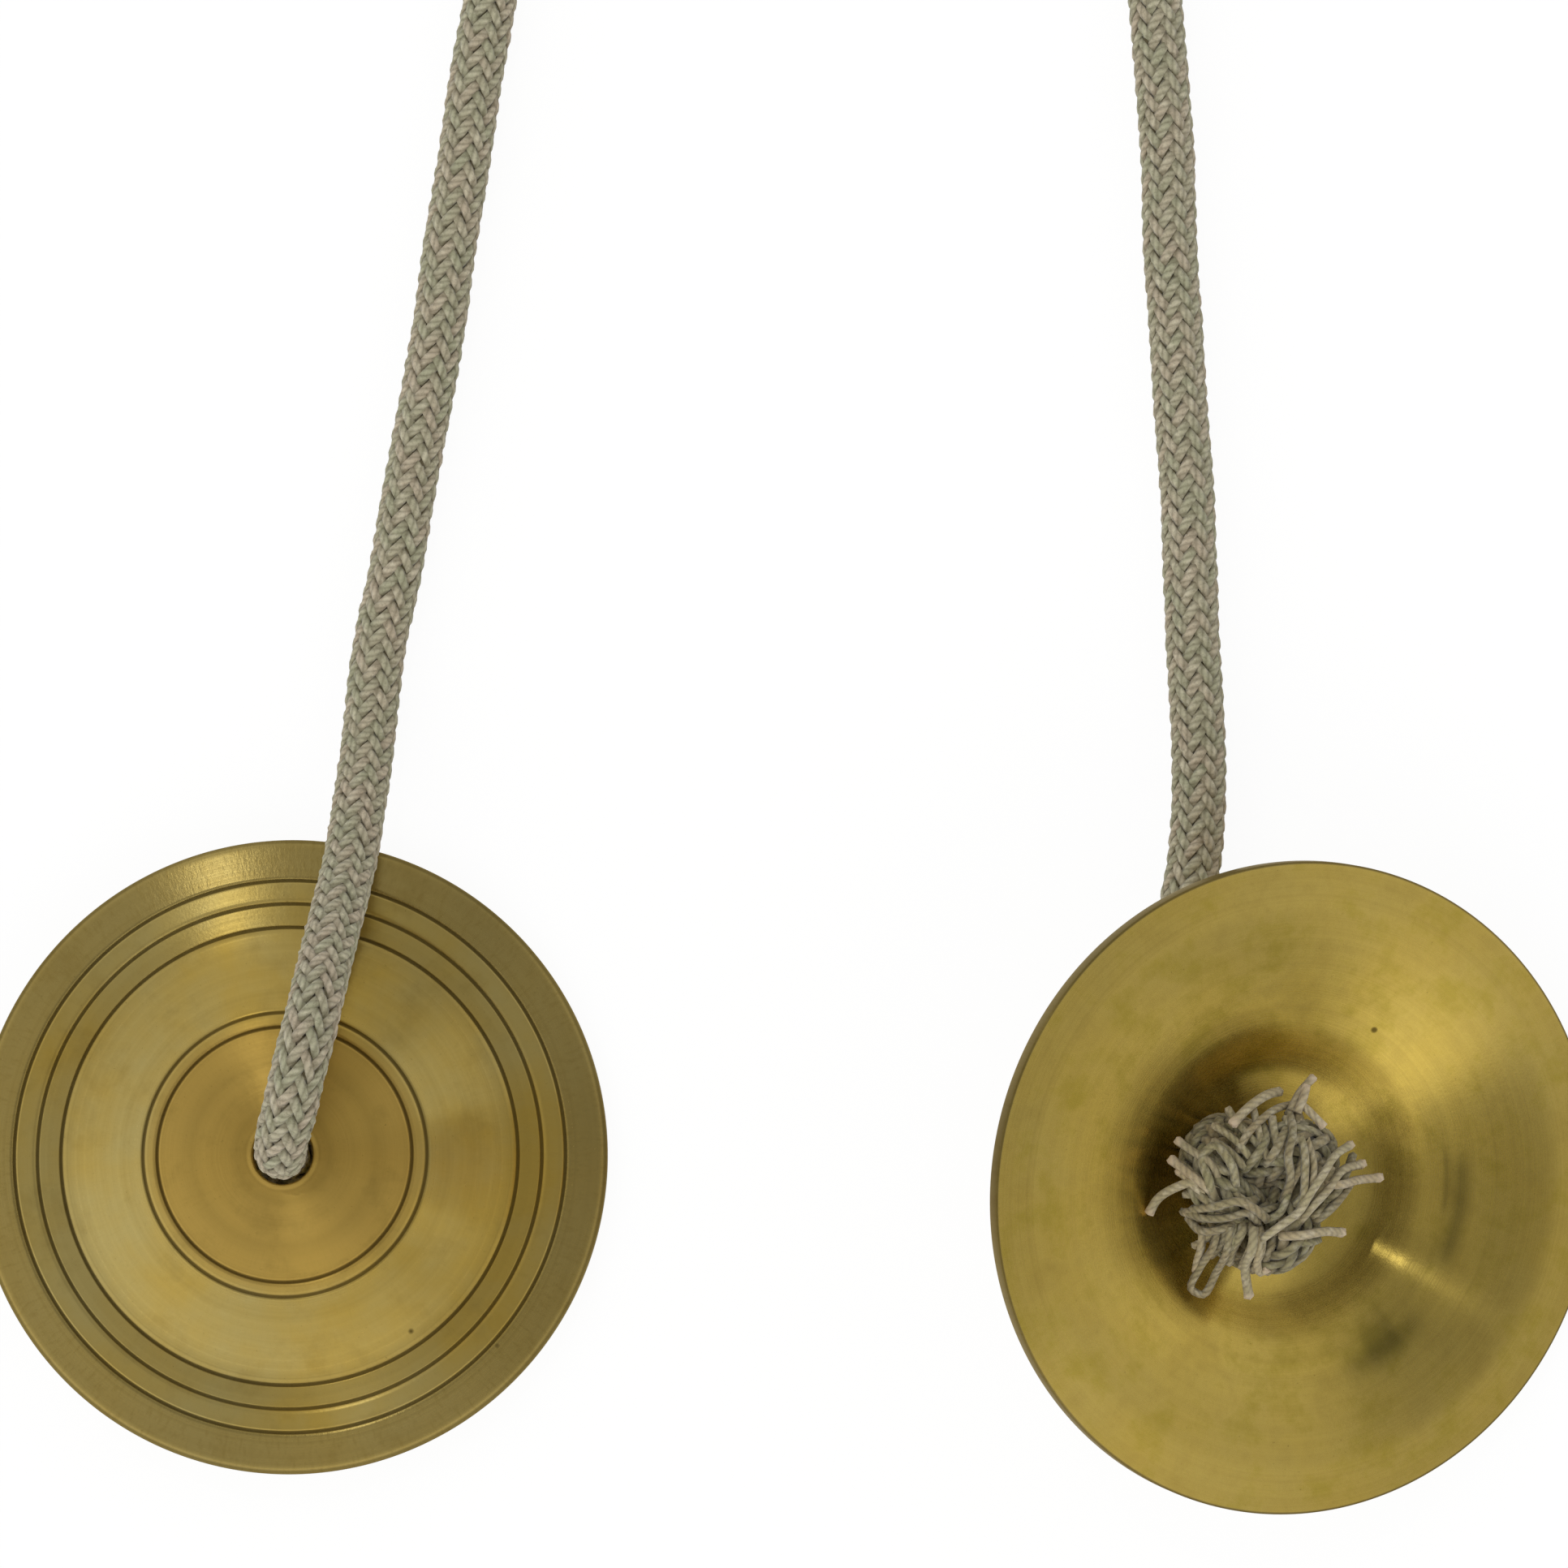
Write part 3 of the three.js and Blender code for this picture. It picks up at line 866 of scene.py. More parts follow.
@dataclass
class Braid:
    """A tubular braid of yarns, each over two and under two, round a soft core.

    Lengths are in millimetres. Each end of the cord narrows to neck times its thickness.
    """

    name: str
    finish: Cotton
    diameter: float = 6.0
    carriers: int = 24
    lay_length: float = 23.8
    yarn_width: float = 1.22
    yarn_thickness: float = 0.74
    wave: float = 0.17
    neck: float = 1.0
    neck_length: float = 0.0
    # Scales every yarn's painted shade; below 1 the whole braid is painted darker.
    in_shade: float = 1.0
    sunk_shade: float = 0.2
    ridge_shade: float = 0.9
    plateau: float = 1.35
    bedding: float = 0.6
    sway: float = 0.03
    slow_pace: float = 0.21
    quick_pace: float = 0.9
    uneven: float = 0.02
    core_gap: float = 0.35
    seed: int = 7

    def radius_at(self, along: np.ndarray, total: float) -> np.ndarray:
        """Finds how far the yarns' middles lie from the centreline, narrower in the necks.

        Args:
            along: each point's way along the cord.
            total: the cord's whole length.

        Returns:
            The distance at each point.
        """
        usual = self.diameter / 2 - self.yarn_thickness / 2 - self.wave * self.bedding
        if not self.neck_length:
            return np.full_like(along, usual)
        ends = np.minimum(along, total - along)
        return usual * (self.neck + (1 - self.neck) * smooth_step(0.0, self.neck_length, ends))

    def strand(
        self,
        index: int,
        hand: int,
        line: np.ndarray,
        frames: tuple[np.ndarray, ...],
        rng: np.random.Generator,
    ) -> tuple[np.ndarray, np.ndarray, np.ndarray]:
        """Finds one yarn's middle line, its outward direction and how high it rides.

        Args:
            index: which yarn of its hand it is.
            hand: 1 for yarns that turn left, -1 for right.
            line: the cord's centreline.
            frames: the tangents and the two cross directions along it.
            rng: the source of small differences.

        Returns:
            The middle line, the outward directions and the ride from 0 to 1.
        """
        per_hand = self.carriers // 2
        along = np.arange(len(line)) * np.linalg.norm(line[1] - line[0])
        wobble = self.sway * np.sin(along * self.slow_pace + rng.uniform(0, TAU))
        turn = hand * TAU * along / self.lay_length + TAU * index / per_hand + wobble
        crossings = self.carriers * along / self.lay_length
        phase = (crossings + hand * (2 * index + 0.5)) * 0.5 * math.pi
        ride = 0.5 + 0.5 * np.clip(self.plateau * np.sin(phase), -1.0, 1.0)
        _, across, aside = frames
        out = np.cos(turn)[:, None] * across + np.sin(turn)[:, None] * aside
        reach = self.radius_at(along, along[-1]) + self.wave * (2.0 * ride - 1.0)
        reach = reach + rng.normal(0.0, self.uneven)
        reach = reach + self.sway * np.sin(along * self.quick_pace + rng.uniform(0, TAU))
        return line + out * reach[:, None], out, ride

    def lay(self, route: np.ndarray, rope: YarnMesh) -> None:
        """Lays every yarn and the soft core along a route.

        Args:
            route: the cord's centreline, evenly spaced, in millimetres.
            rope: the mesh that gathers the yarns.
        """
        rng = np.random.default_rng(self.seed)
        frames = carried_frames(route)
        along = np.arange(len(route)) * np.linalg.norm(route[1] - route[0])
        for hand in (1, -1):
            for index in range(self.carriers // 2):
                middle, out, ride = self.strand(index, hand, route, frames, rng)
                # Painted shade: yarns that pass under others are darker.
                shade = self.in_shade * (self.sunk_shade + self.ridge_shade * ride)
                tone = float(rng.uniform(0.0, 1.0))
                halves = (self.yarn_width / 2, self.yarn_thickness / 2)
                rope.add(middle, out, *halves, shade, np.zeros(len(ride)), tone)
        rope.add_core(route, frames, self.radius_at(along, along[-1]) - self.yarn_thickness * self.core_gap)

    def build(self, route: np.ndarray) -> bpy.types.Object:
        """Makes the braid as a piece of its own.

        Args:
            route: the cord's centreline, evenly spaced, in millimetres.

        Returns:
            The dressed braid.
        """
        rope = YarnMesh(self.name)
        self.lay(route, rope)
        piece = rope.finish()
        piece.data.materials.append(self.finish.build())
        return piece


@dataclass
class YarnMesh:
    """Gathers yarns as closed tubes with a yarn map, a crest shade and a tip mask."""

    name: str
    sides: int = 5
    lowest_shade: float = 0.45
    core_shade: float = 0.12
    work: bmesh.types.BMesh = field(default_factory=bmesh.new)

    def __post_init__(self) -> None:
        """Makes the layers that every yarn fills."""
        self.uv = self.work.loops.layers.uv.new("yarn")
        self.crest = self.work.verts.layers.float.new("crest")
        self.tip_and_highlight = self.work.verts.layers.float.new("tip_and_highlight")
        self.tone = self.work.verts.layers.float.new("tone")

    def add(
        self,
        middle: np.ndarray,
        out: np.ndarray,
        half_width: Any,
        half_thickness: Any,
        crest: np.ndarray,
        tip_and_highlight: np.ndarray,
        tone: float = 0.5,
    ) -> None:
        """Adds one yarn as a closed tube of oval rings.

        Args:
            middle: the yarn's middle line.
            out: the direction across its thin way at each point.
            half_width: half its width, one value or one a point.
            half_thickness: half its thickness, one value or one a point.
            crest: its shade at each point, from dark 0 to full 1.
            tip_and_highlight: how much of a cut tip each point is, or of the painted highlight along a yarn
                in sight.
            tone: the yarn's own tone, from greenish 0 to pinkish 1.
        """
        tangents = np.gradient(middle, axis=0)
        tangents /= np.linalg.norm(tangents, axis=1)[:, None]
        out = out - (out * tangents).sum(1)[:, None] * tangents
        out /= np.linalg.norm(out, axis=1)[:, None]
        wide = np.cross(tangents, out)
        half_width = np.broadcast_to(half_width, len(middle))
        half_thickness = np.broadcast_to(half_thickness, len(middle))
        step = np.linalg.norm(middle[1] - middle[0])
        rings = []
        for i, point in enumerate(middle):
            ring = []
            for k in range(self.sides):
                angle = TAU * k / self.sides
                aside = wide[i] * half_width[i] * math.cos(angle)
                vert = self.work.verts.new(point + aside + out[i] * half_thickness[i] * math.sin(angle))
                lift = 0.5 + 0.5 * math.sin(angle)
                vert[self.crest] = float(crest[i] * (self.lowest_shade + (1.0 - self.lowest_shade) * lift))
                vert[self.tip_and_highlight] = float(tip_and_highlight[i])
                vert[self.tone] = tone
                ring.append(vert)
            rings.append(ring)
        for i, (low, high) in enumerate(zip(rings, rings[1:])):
            for k in range(self.sides):
                after = (k + 1) % self.sides
                face = self.work.faces.new((low[k], low[after], high[after], high[k]))
                corners = ((k, i), (k + 1, i), (k + 1, i + 1), (k, i + 1))
                for loop, (side, row) in zip(face.loops, corners):
                    loop[self.uv].uv = (side / self.sides, row * step)
        self.work.faces.new(rings[0][::-1])
        self.work.faces.new(rings[-1])

    def add_core(self, line: np.ndarray, frames: tuple[np.ndarray, ...], radius: np.ndarray) -> None:
        """Adds the soft core, which shows only as shade in the gaps.

        Args:
            line: the cord's centreline.
            frames: the tangents and the two cross directions along it.
            radius: the core's radius at each point.
        """
        line, across, radius = line[::2], frames[1][::2], radius[::2]
        shade = np.full(len(line), self.core_shade)
        self.add(line, across, radius, radius, shade, np.zeros(len(line)))

    def finish(self) -> bpy.types.Object:
        """Turns the gathered yarns into one piece."""
        bmesh.ops.recalc_face_normals(self.work, faces=self.work.faces)
        return piece_from(self.work, self.name)


@dataclass(frozen=True)
class Tuft:
    """A few frayed yarns that lie side by side, in the plane across the knot's axis."""

    start: tuple[float, float]
    heading: float
    length: float
    count: int
    spread: float
    lift: float


TUFTS = {
    Lie.SPREAD_OVER: (
        Tuft(start=(-2.6, -3.0), heading=-98.0, length=5.4, count=4, spread=12.0, lift=-0.6),
        Tuft(start=(2.8, -2.4), heading=57.0, length=6.0, count=4, spread=14.0, lift=-0.4),
        Tuft(start=(1.6, 2.6), heading=92.0, length=6.0, count=4, spread=16.0, lift=-0.5),
        Tuft(start=(-1.6, 3.4), heading=132.0, length=5.0, count=3, spread=20.0, lift=-0.6),
        Tuft(start=(-4.4, 1.0), heading=160.0, length=4.6, count=3, spread=24.0, lift=-0.5),
        Tuft(start=(-4.6, -1.8), heading=206.0, length=4.4, count=3, spread=20.0, lift=-0.5),
    ),
    Lie.PRESSED_OUT: (
        Tuft(start=(4.8, 1.0), heading=12.0, length=8.0, count=4, spread=44.0, lift=-0.6),
        Tuft(start=(1.4, 4.6), heading=82.0, length=8.0, count=4, spread=50.0, lift=-0.9),
        Tuft(start=(-4.4, 2.6), heading=152.0, length=8.4, count=4, spread=48.0, lift=-0.5),
        Tuft(start=(-2.6, -4.4), heading=238.0, length=7.8, count=4, spread=46.0, lift=-0.8),
        Tuft(start=(3.0, -4.2), heading=304.0, length=8.2, count=4, spread=50.0, lift=-0.6),
    ),
}


@dataclass(frozen=True)
class Stray:
    """One frayed yarn in sight, through points right of and above the knot's middle."""

    points: tuple[tuple[float, float], ...]
    lift: float = 0.0
    tucked: bool = False


STRAYS = (
    Stray(((-1.8, -3.6), (-2.1, -5.8), (-2.3, -8.0), (-1.8, -10.3), (-1.4, -11.7)), lift=0.5),
    Stray(((-1.4, -4.0), (-1.3, -6.2), (-1.2, -7.7), (-0.6, -8.9), (0.1, -8.4)), lift=0.2),
    Stray(
        (
            (-4.2, -3.4), (-4.4, -6.2), (-4.9, -8.8), (-6.1, -11.4),
            (-7.3, -10.7), (-6.5, -8.4), (-5.6, -5.8), (-5.2, -3.8),
        ),
        lift=0.5, tucked=True,
    ),
    Stray(((-6.6, -3.6), (-6.6, -5.8), (-6.8, -7.6), (-6.8, -8.8)), lift=0.1),
    Stray(((-3.5, -3.2), (-3.9, -5.4), (-4.0, -7.4)), lift=-0.2, tucked=True),
    Stray(((-0.9, -4.8), (0.4, -3.4), (2.6, -1.8), (3.6, 0.0), (5.0, 1.9), (6.7, 3.7), (8.9, 4.5)), lift=1.0),
    Stray(((5.4, 0.7), (7.4, 0.7), (9.4, 0.8), (12.2, 0.7)), lift=1.0),
    Stray(((0.8, -4.6), (2.9, -4.4), (5.5, -4.3), (7.8, -4.8)), lift=0.8),
    Stray(((2.9, -3.2), (4.1, -1.2), (5.7, 0.3), (7.6, 2.0), (10.3, 2.3)), lift=0.5),
    Stray(((4.4, -3.4), (5.9, -2.0), (7.6, -0.6), (9.2, 0.4)), lift=0.4, tucked=True),
    Stray(((2.4, -2.9), (3.0, -0.8), (3.2, 2.0), (3.2, 4.4), (3.0, 7.0)), lift=0.7, tucked=True),
    Stray(((3.6, -2.4), (3.9, 0.4), (4.2, 3.0), (3.8, 5.6), (3.6, 8.4)), lift=0.3, tucked=True),
    Stray(((1.4, -1.0), (1.9, 1.6), (1.5, 4.0), (2.3, 6.4), (2.5, 8.2)), lift=0.6, tucked=True),
    Stray(((2.6, 8.4), (3.8, 10.2), (5.4, 11.7)), lift=1.2),
    Stray(((3.2, 8.2), (3.9, 9.6), (4.4, 10.8)), lift=1.7),
    Stray(((3.4, 9.4), (4.6, 8.1), (5.8, 6.7)), lift=1.4),
    Stray(((2.0, 10.2), (0.2, 10.0), (-1.8, 8.9), (-3.7, 7.3)), lift=0.8),
    Stray(((3.0, 8.8), (1.0, 8.6), (-0.8, 7.6), (-2.4, 6.2), (-3.2, 4.4)), lift=0.3, tucked=True),
    Stray(((2.4, 7.2), (1.2, 6.0), (0.2, 4.6), (-0.4, 3.0)), lift=0.2, tucked=True),
    Stray(((-0.4, 7.4), (-0.6, 5.6), (-1.6, 4.2), (-2.6, 2.4)), lift=-0.1, tucked=True),
    Stray(
        ((-3.6, 1.0), (-4.2, 3.2), (-5.6, 5.1), (-6.8, 3.8), (-6.4, 1.6), (-5.8, -0.4)),
        lift=0.7, tucked=True,
    ),
    Stray(((-5.0, 0.8), (-6.0, 3.2), (-7.6, 4.4), (-8.8, 5.4)), lift=0.3),
    Stray(((-5.6, -0.2), (-7.2, 1.4), (-8.4, 2.4), (-9.6, 3.5)), lift=0.9),
    Stray(((-5.4, -1.0), (-7.4, 0.6), (-8.4, 1.8), (-8.9, 2.3)), lift=0.3),
    Stray(((-5.0, 0.4), (-7.4, 1.3), (-9.4, 0.4), (-10.8, -0.9), (-11.6, -2.5)), lift=0.5),
    Stray(((-7.6, -1.9), (-5.8, -1.2), (-3.6, -0.6), (-2.0, -1.4), (-0.4, -2.8)), lift=0.6, tucked=True),
    Stray(((-8.4, -2.2), (-6.6, -2.6), (-4.6, -2.4), (-2.6, -1.9), (-1.2, -3.2)), lift=0.2, tucked=True),
    Stray(((-4.0, 0.2), (-2.6, -0.8), (-1.4, -1.8), (0.8, -1.6)), lift=0.3, tucked=True),
    Stray(((-7.9, -2.8), (-7.0, -4.0), (-5.4, -3.8), (-3.8, -3.2)), lift=0.4, tucked=True),
    Stray(((-0.6, -3.0), (0.8, -2.2), (1.6, -0.6), (2.2, 1.2)), lift=0.1, tucked=True),
    Stray(((5.2, -1.4), (6.6, -0.4), (8.0, 1.2), (9.6, 3.0)), lift=0.1, tucked=True),
    Stray(((2.0, -5.4), (3.8, -5.4), (5.4, -5.6)), lift=0.3, tucked=True),
)


@dataclass
class Knot:
    """An overhand knot on a cord's end, its neck through the hole and its frayed yarns.

    Lengths are in millimetres. The frayed yarns lie on a dome over the loops, dimpled in its
    middle and falling off to its edge, or on a flat top where the cymbal lies on them.
    cut_and_highlight_shown is the painted highlight that a yarn in sight gets all along itself, as a share of
    its cut tip's pale colour, and how much of its cut tip a sunk yarn shows.
    """

    lathe: Lathe
    finish: Cotton
    middle: float = 3.6
    thickness: float = 6.0
    loop: float = 2.2
    loop_lift: float = 3.4
    loop_points: int = 160
    # Painted shade on the knot's loops, darker all over.
    loop_shade: float = 0.74
    neck_straight: float = 2.3
    dome: float = 6.4
    dimple: float = 1.2
    dimple_reach: tuple[float, float] = (0.5, 4.0)
    fall: float = 6.2
    fall_reach: tuple[float, float] = (4.2, 12.5)
    flat_top: float = 2.2
    yarn: float = 1.0
    pitch: float = 1.05
    widen: float = 1.06
    rooted: float = 1.3
    tuft_rooted: float = 1.9
    root_reach: float = 0.22
    cut_and_highlight_shown: tuple[float, float] = (0.2, 0.3)
    cut_reach: tuple[float, float] = (0.3, 1.6)
    cut_swell: float = 0.2
    thicknesses: tuple[float, float] = (0.86, 1.04)
    shades: tuple[float, float] = (0.86, 1.2)
    tucked_shade: float = 0.72
    lengths: tuple[float, float] = (0.84, 1.1)
    fan_spread: float = 4.0
    lift_spread: float = 0.12
    curl: float = 0.06
    waver: float = 0.2
    ripple: float = 0.25
    yarn_points: int = 9
    step: float = 0.5
    seed: int = 21

    @property
    def lie(self) -> Lie:
        """How this knot's frayed end lies."""
        return Lie.PRESSED_OUT if self.lathe.side is Side.LEFT else Lie.SPREAD_OVER

    @property
    def place(self) -> Matrix:
        """From the knot's frame to the row frame: X to the right, Z out of the cup."""
        outward = -self.lathe.crown
        across = (Vector((1.0, 0.0, 0.0)) - outward * outward.x).normalized()
        turn = Matrix((across, outward.cross(across), outward)).transposed().to_4x4()
        hole = self.lathe.matrix @ Vector((0.0, 0.0, self.lathe.height))
        lean = Matrix.Rotation(math.radians(-self.lean), 4, "Y")
        reach = Vector((self.aside, 0.0, self.lathe.height - self.middle))
        return Matrix.Translation(hole) @ turn @ lean @ Matrix.Translation(reach)

    @property
    def lean(self) -> float:
        """How far the knot leans to the raised side of its cup, in degrees."""
        return 12.0 if self.lie is Lie.SPREAD_OVER else 0.0

    @property
    def neck(self) -> float:
        """The neck's thickness, which fills the right hole and leaves the left one some room."""
        return 6.2 if self.lie is Lie.SPREAD_OVER else 5.4

    @property
    def aside(self) -> float:
        """How far the knot sits to the raised side of its cup, besides its lean."""
        return -1.2 if self.lie is Lie.SPREAD_OVER else 0.0

    def cover(self, reach: float) -> float:
        """Finds the height of the yarns over the knot's middle.

        Args:
            reach: the distance from the knot's axis.

        Returns:
            The height.
        """
        if self.lie is Lie.PRESSED_OUT:
            return self.flat_top
        dip = self.dimple * (1.0 - smooth_step(*self.dimple_reach, reach))
        return self.dome - dip - self.fall * smooth_step(*self.fall_reach, reach)

    def build(self) -> bpy.types.Object:
        """Makes the neck, the loops and the frayed yarns as one piece, in place.

        Returns:
            The dressed knot.
        """
        rope = YarnMesh(f"knotted_end_{self.lathe.side.value}")
        loops = Braid("loops", self.finish, diameter=self.thickness, in_shade=self.loop_shade, seed=self.seed)
        loops.lay(self.placed(self.loops()), rope)
        top = self.lathe.matrix @ Vector((0.0, 0.0, self.lathe.bend_height))
        inside = self.lathe.matrix @ Vector((0.0, 0.0, self.lathe.height - self.neck_straight))
        root = self.place @ Vector((0.0, 0.0, -self.loop_lift))
        neck = Braid("neck", self.finish, diameter=self.neck, seed=self.seed + 1)
        neck.lay(catmull_rom(np.array([top, inside, root]), self.step), rope)
        self.fray(rope)
        piece = rope.finish()
        piece.data.materials.append(self.finish.build())
        return piece

    def loops(self) -> np.ndarray:
        """Routes the knot's closed loops about its middle.

        Returns:
            Points in the knot's frame.
        """
        t = np.linspace(0.0, TAU, self.loop_points)
        x = self.loop * (np.sin(t) + 2.0 * np.sin(2.0 * t))
        y = self.loop * (np.cos(t) - 2.0 * np.cos(2.0 * t))
        return np.column_stack([x, y, -self.loop_lift * np.sin(3.0 * t)])

    def placed(self, points: np.ndarray) -> np.ndarray:
        """Moves a curve from the knot's frame to the row frame and spaces it evenly."""
        place = self.place
        return catmull_rom(np.array([place @ Vector(point) for point in points]), self.step)

    def fray(self, rope: YarnMesh) -> None:
        """Adds the frayed yarns in sight, and every tuft.

        Args:
            rope: the mesh that gathers the yarns.
        """
        rng = np.random.default_rng(self.seed)
        if self.lie is Lie.SPREAD_OVER:
            for stray in STRAYS:
                line = self.placed(self.stray_line(stray, rng))
                self.add_yarn(rope, line, rng, 0.0 if stray.tucked else 1.0)
        sunk = self.cut_and_highlight_shown[1] if self.lie is Lie.SPREAD_OVER else 1.0
        for tuft in TUFTS[self.lie]:
            for k in range(tuft.count):
                beside = k - (tuft.count - 1) / 2
                fan = tuft.spread * beside / max(1, tuft.count - 1)
                line = self.yarn_line(tuft, beside * self.pitch, fan + rng.normal(0.0, self.fan_spread), rng)
                self.add_yarn(rope, self.placed(line), rng, sunk)

    def add_yarn(self, rope: YarnMesh, line: np.ndarray, rng: np.random.Generator, cut: float) -> None:
        """Adds one frayed yarn, a little thicker at its cut tip.

        Args:
            rope: the mesh that gathers the yarns.
            line: the yarn's middle line, in the row frame.
            rng: the source of small differences.
            cut: how much its cut tip shows, from 0 for a tucked end.
        """
        ends = np.arange(len(line), 0, -1) * self.step
        # Painted highlight: a yarn in sight gets some of the cut tip's pale colour all along itself.
        painted_highlight = self.cut_and_highlight_shown[0]
        tip_and_highlight = cut * (painted_highlight + (1.0 - painted_highlight) * (1.0 - smooth_step(*self.cut_reach, ends)))
        half = self.yarn / 2 * rng.uniform(*self.thicknesses) * (1.0 + self.cut_swell * tip_and_highlight)
        shade = self.tucked_shade + (1.0 - self.tucked_shade) * min(1.0, cut + 0.4)
        crest = np.full(len(line), rng.uniform(*self.shades)) * shade
        outward = np.tile(-self.lathe.crown, (len(line), 1))
        rope.add(line, outward, half, half, crest, tip_and_highlight, float(rng.uniform(0.0, 1.0)))

    def stray_line(self, stray: Stray, rng: np.random.Generator) -> np.ndarray:
        """Lays one yarn in sight over the knot, rooted at its start.

        Args:
            stray: the yarn, as it is seen.
            rng: the source of small differences.

        Returns:
            Points in the knot's frame.
        """
        points = []
        for i, (x, y) in enumerate(stray.points):
            height = self.cover(math.hypot(x, y)) + stray.lift + rng.normal(0.0, self.lift_spread)
            hidden = i == 0 or (stray.tucked and i == len(stray.points) - 1)
            points.append((x * self.widen, y, height - (self.rooted if hidden else 0.0)))
        return np.array(points)

    def yarn_line(self, tuft: Tuft, beside: float, fan: float, rng: np.random.Generator) -> np.ndarray:
        """Routes one yarn of a tuft, over the knot and down its side.

        Args:
            tuft: the tuft that it belongs to.
            beside: how far it lies beside the tuft's middle.
            fan: how far its heading differs from the tuft's, in degrees.
            rng: the source of small differences.

        Returns:
            Points in the knot's frame.
        """
        heading = math.radians(tuft.heading)
        own = heading + math.radians(fan)
        length = tuft.length * rng.uniform(*self.lengths)
        wave = rng.uniform(0.0, TAU)
        curl = rng.normal(0.0, self.curl)
        points = []
        for s in np.linspace(0.0, 1.0, self.yarn_points):
            run = length * s
            side = curl * length * s * s + self.waver * math.sin(wave + 5.0 * s)
            x = tuft.start[0] - math.sin(heading) * beside + math.cos(own) * run - math.sin(own) * side
            y = tuft.start[1] + math.cos(heading) * beside + math.sin(own) * run + math.cos(own) * side
            rooted = self.tuft_rooted * (1.0 - smooth_step(0.0, self.root_reach, s))
            height = self.cover(math.hypot(x, y)) + tuft.lift + self.ripple * math.sin(wave + 3.0 * s)
            points.append((x, y, height - rooted))
        return np.array(points)


@dataclass(frozen=True)
class View:
    """The photo's view, from 0.65 m away and 6.4 degrees off straight above."""

    place: tuple[float, float, float] = (0.0652, 0.01016, 0.64598)
    back: tuple[float, float, float] = (0.1, -0.05, 0.99373)
    lens: float = 134.6
    sensor: float = 36.0

    def set_up(self) -> None:
        """Makes the camera, upright along the row frame's Y."""
        scene = bpy.context.scene
        scene.view_settings.view_transform = "Standard"
        data = bpy.data.cameras.new("camera")
        data.lens = self.lens
        data.sensor_width = self.sensor
        view = bpy.data.objects.new("camera", data)
        back = Vector(self.back).normalized()
        right = Vector((0.0, 1.0, 0.0)).cross(back).normalized()
        turn = Matrix((right, back.cross(right), back)).transposed().to_4x4()
        view.matrix_world = Matrix.Translation(self.place) @ turn
        scene.collection.objects.link(view)
        scene.camera = view


def main() -> None:
    """Builds the pair, the stage and the view, in order."""
    logging.basicConfig(level=logging.INFO, format="%(message)s")
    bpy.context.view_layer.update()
    View().set_up()
    room = Room()
    room.lay_floor()
    room.light()
    SMALL_LAMP.hang()
    lathes = {side: Lathe(side) for side in Side}
    for side, lathe in lathes.items():
        # Only the right cymbal's bowl gets painted dark reflections.
        reflections = BOWL_REFLECTIONS if side is Side.RIGHT else ()
        cymbal = Cymbal(lathe, TurnedBrass(f"turned_brass_{side.value}"), reflections=reflections).build()
        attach(cymbal, f"{side.value}_cymbal")
        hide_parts(f"cymbal_{side.value}")
        log.info("cymbal %s: %d faces", side.value, len(cymbal.data.polygons))
    lay_cord(lathes)


def lay_cord(lathes: dict[Side, Lathe]) -> None:
    """Lays the main cord from one bend to the other, and ties a knot on each end.

    Args:
        lathes: each cymbal's frame, by its side.
    """
    left, right = lathes[Side.LEFT], lathes[Side.RIGHT]
    start = np.array(left.bend)
    end = np.array(right.bend)
    routed = np.array([*LEFT_ROUTE, *ARCH_ROUTE, *RIGHT_ROUTE]) + np.array(ROUTE_ORIGIN)
    points = np.vstack([start, start + np.array(left.crown) * FIRST_RISE, routed, end])
    route = catmull_rom(points, CORD_STEP)
    braid = Braid("braided_cord", Cotton("braid_cotton"), neck=0.85, neck_length=9.0).build(route)
    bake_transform(braid)
    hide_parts("cord_left", "cord_arch", "cord_right")
    knots = [tie_knot(lathe).name for lathe in lathes.values()]
    log.info("cord: %.0f mm, %d faces", len(route) * CORD_STEP, len(braid.data.polygons))


def tie_knot(lathe: Lathe) -> bpy.types.Object:
    """Ties, dresses and places one knot with its neck and frayed end.

    Args:
        lathe: the frame of the cymbal that it holds.

    Returns:
        The dressed knot.
    """
    # The knot's gap colour is darker than the cord's: painted shade in its hollows.
    in_shade = Cotton(
        f"knot_cotton_{lathe.side.value}",
        green=colour(188, 181, 136),
        pink=colour(206, 188, 146),
        gap=colour(46, 38, 18),
    )
    knot = Knot(lathe, in_shade).build()
    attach(knot, f"{lathe.side.value}_knot")
    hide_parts(f"knot_{lathe.side.value}")
    log.info("knot %s: %d faces", lathe.side.value, len(knot.data.polygons))
    return knot


@dataclass(frozen=True)
class SoftBox:
    """A square lamp, aimed at the pair from a compass angle and an angle off straight above."""

    name: str
    azimuth: float
    off_vertical: float
    away: float
    size: float
    radiance: float

    def hang(self) -> None:
        """Adds the lamp to the scene."""
        data = bpy.data.lights.new(self.name, "AREA")
        data.size = self.size
        data.energy = self.radiance * math.pi * self.size**2
        lamp = bpy.data.objects.new(self.name, data)
        lean, turn = math.radians(self.off_vertical), math.radians(self.azimuth)
        level = math.sin(lean)
        aim = Vector((level * math.cos(turn), level * math.sin(turn), math.cos(lean)))
        lamp.location = aim * self.away
        lamp.rotation_euler = aim.to_track_quat("Z", "Y").to_euler()
        bpy.context.scene.collection.objects.link(lamp)


SMALL_LAMP = SoftBox("small_lamp", azimuth=109.0, off_vertical=24.0, away=1.0, size=0.02, radiance=210.0)


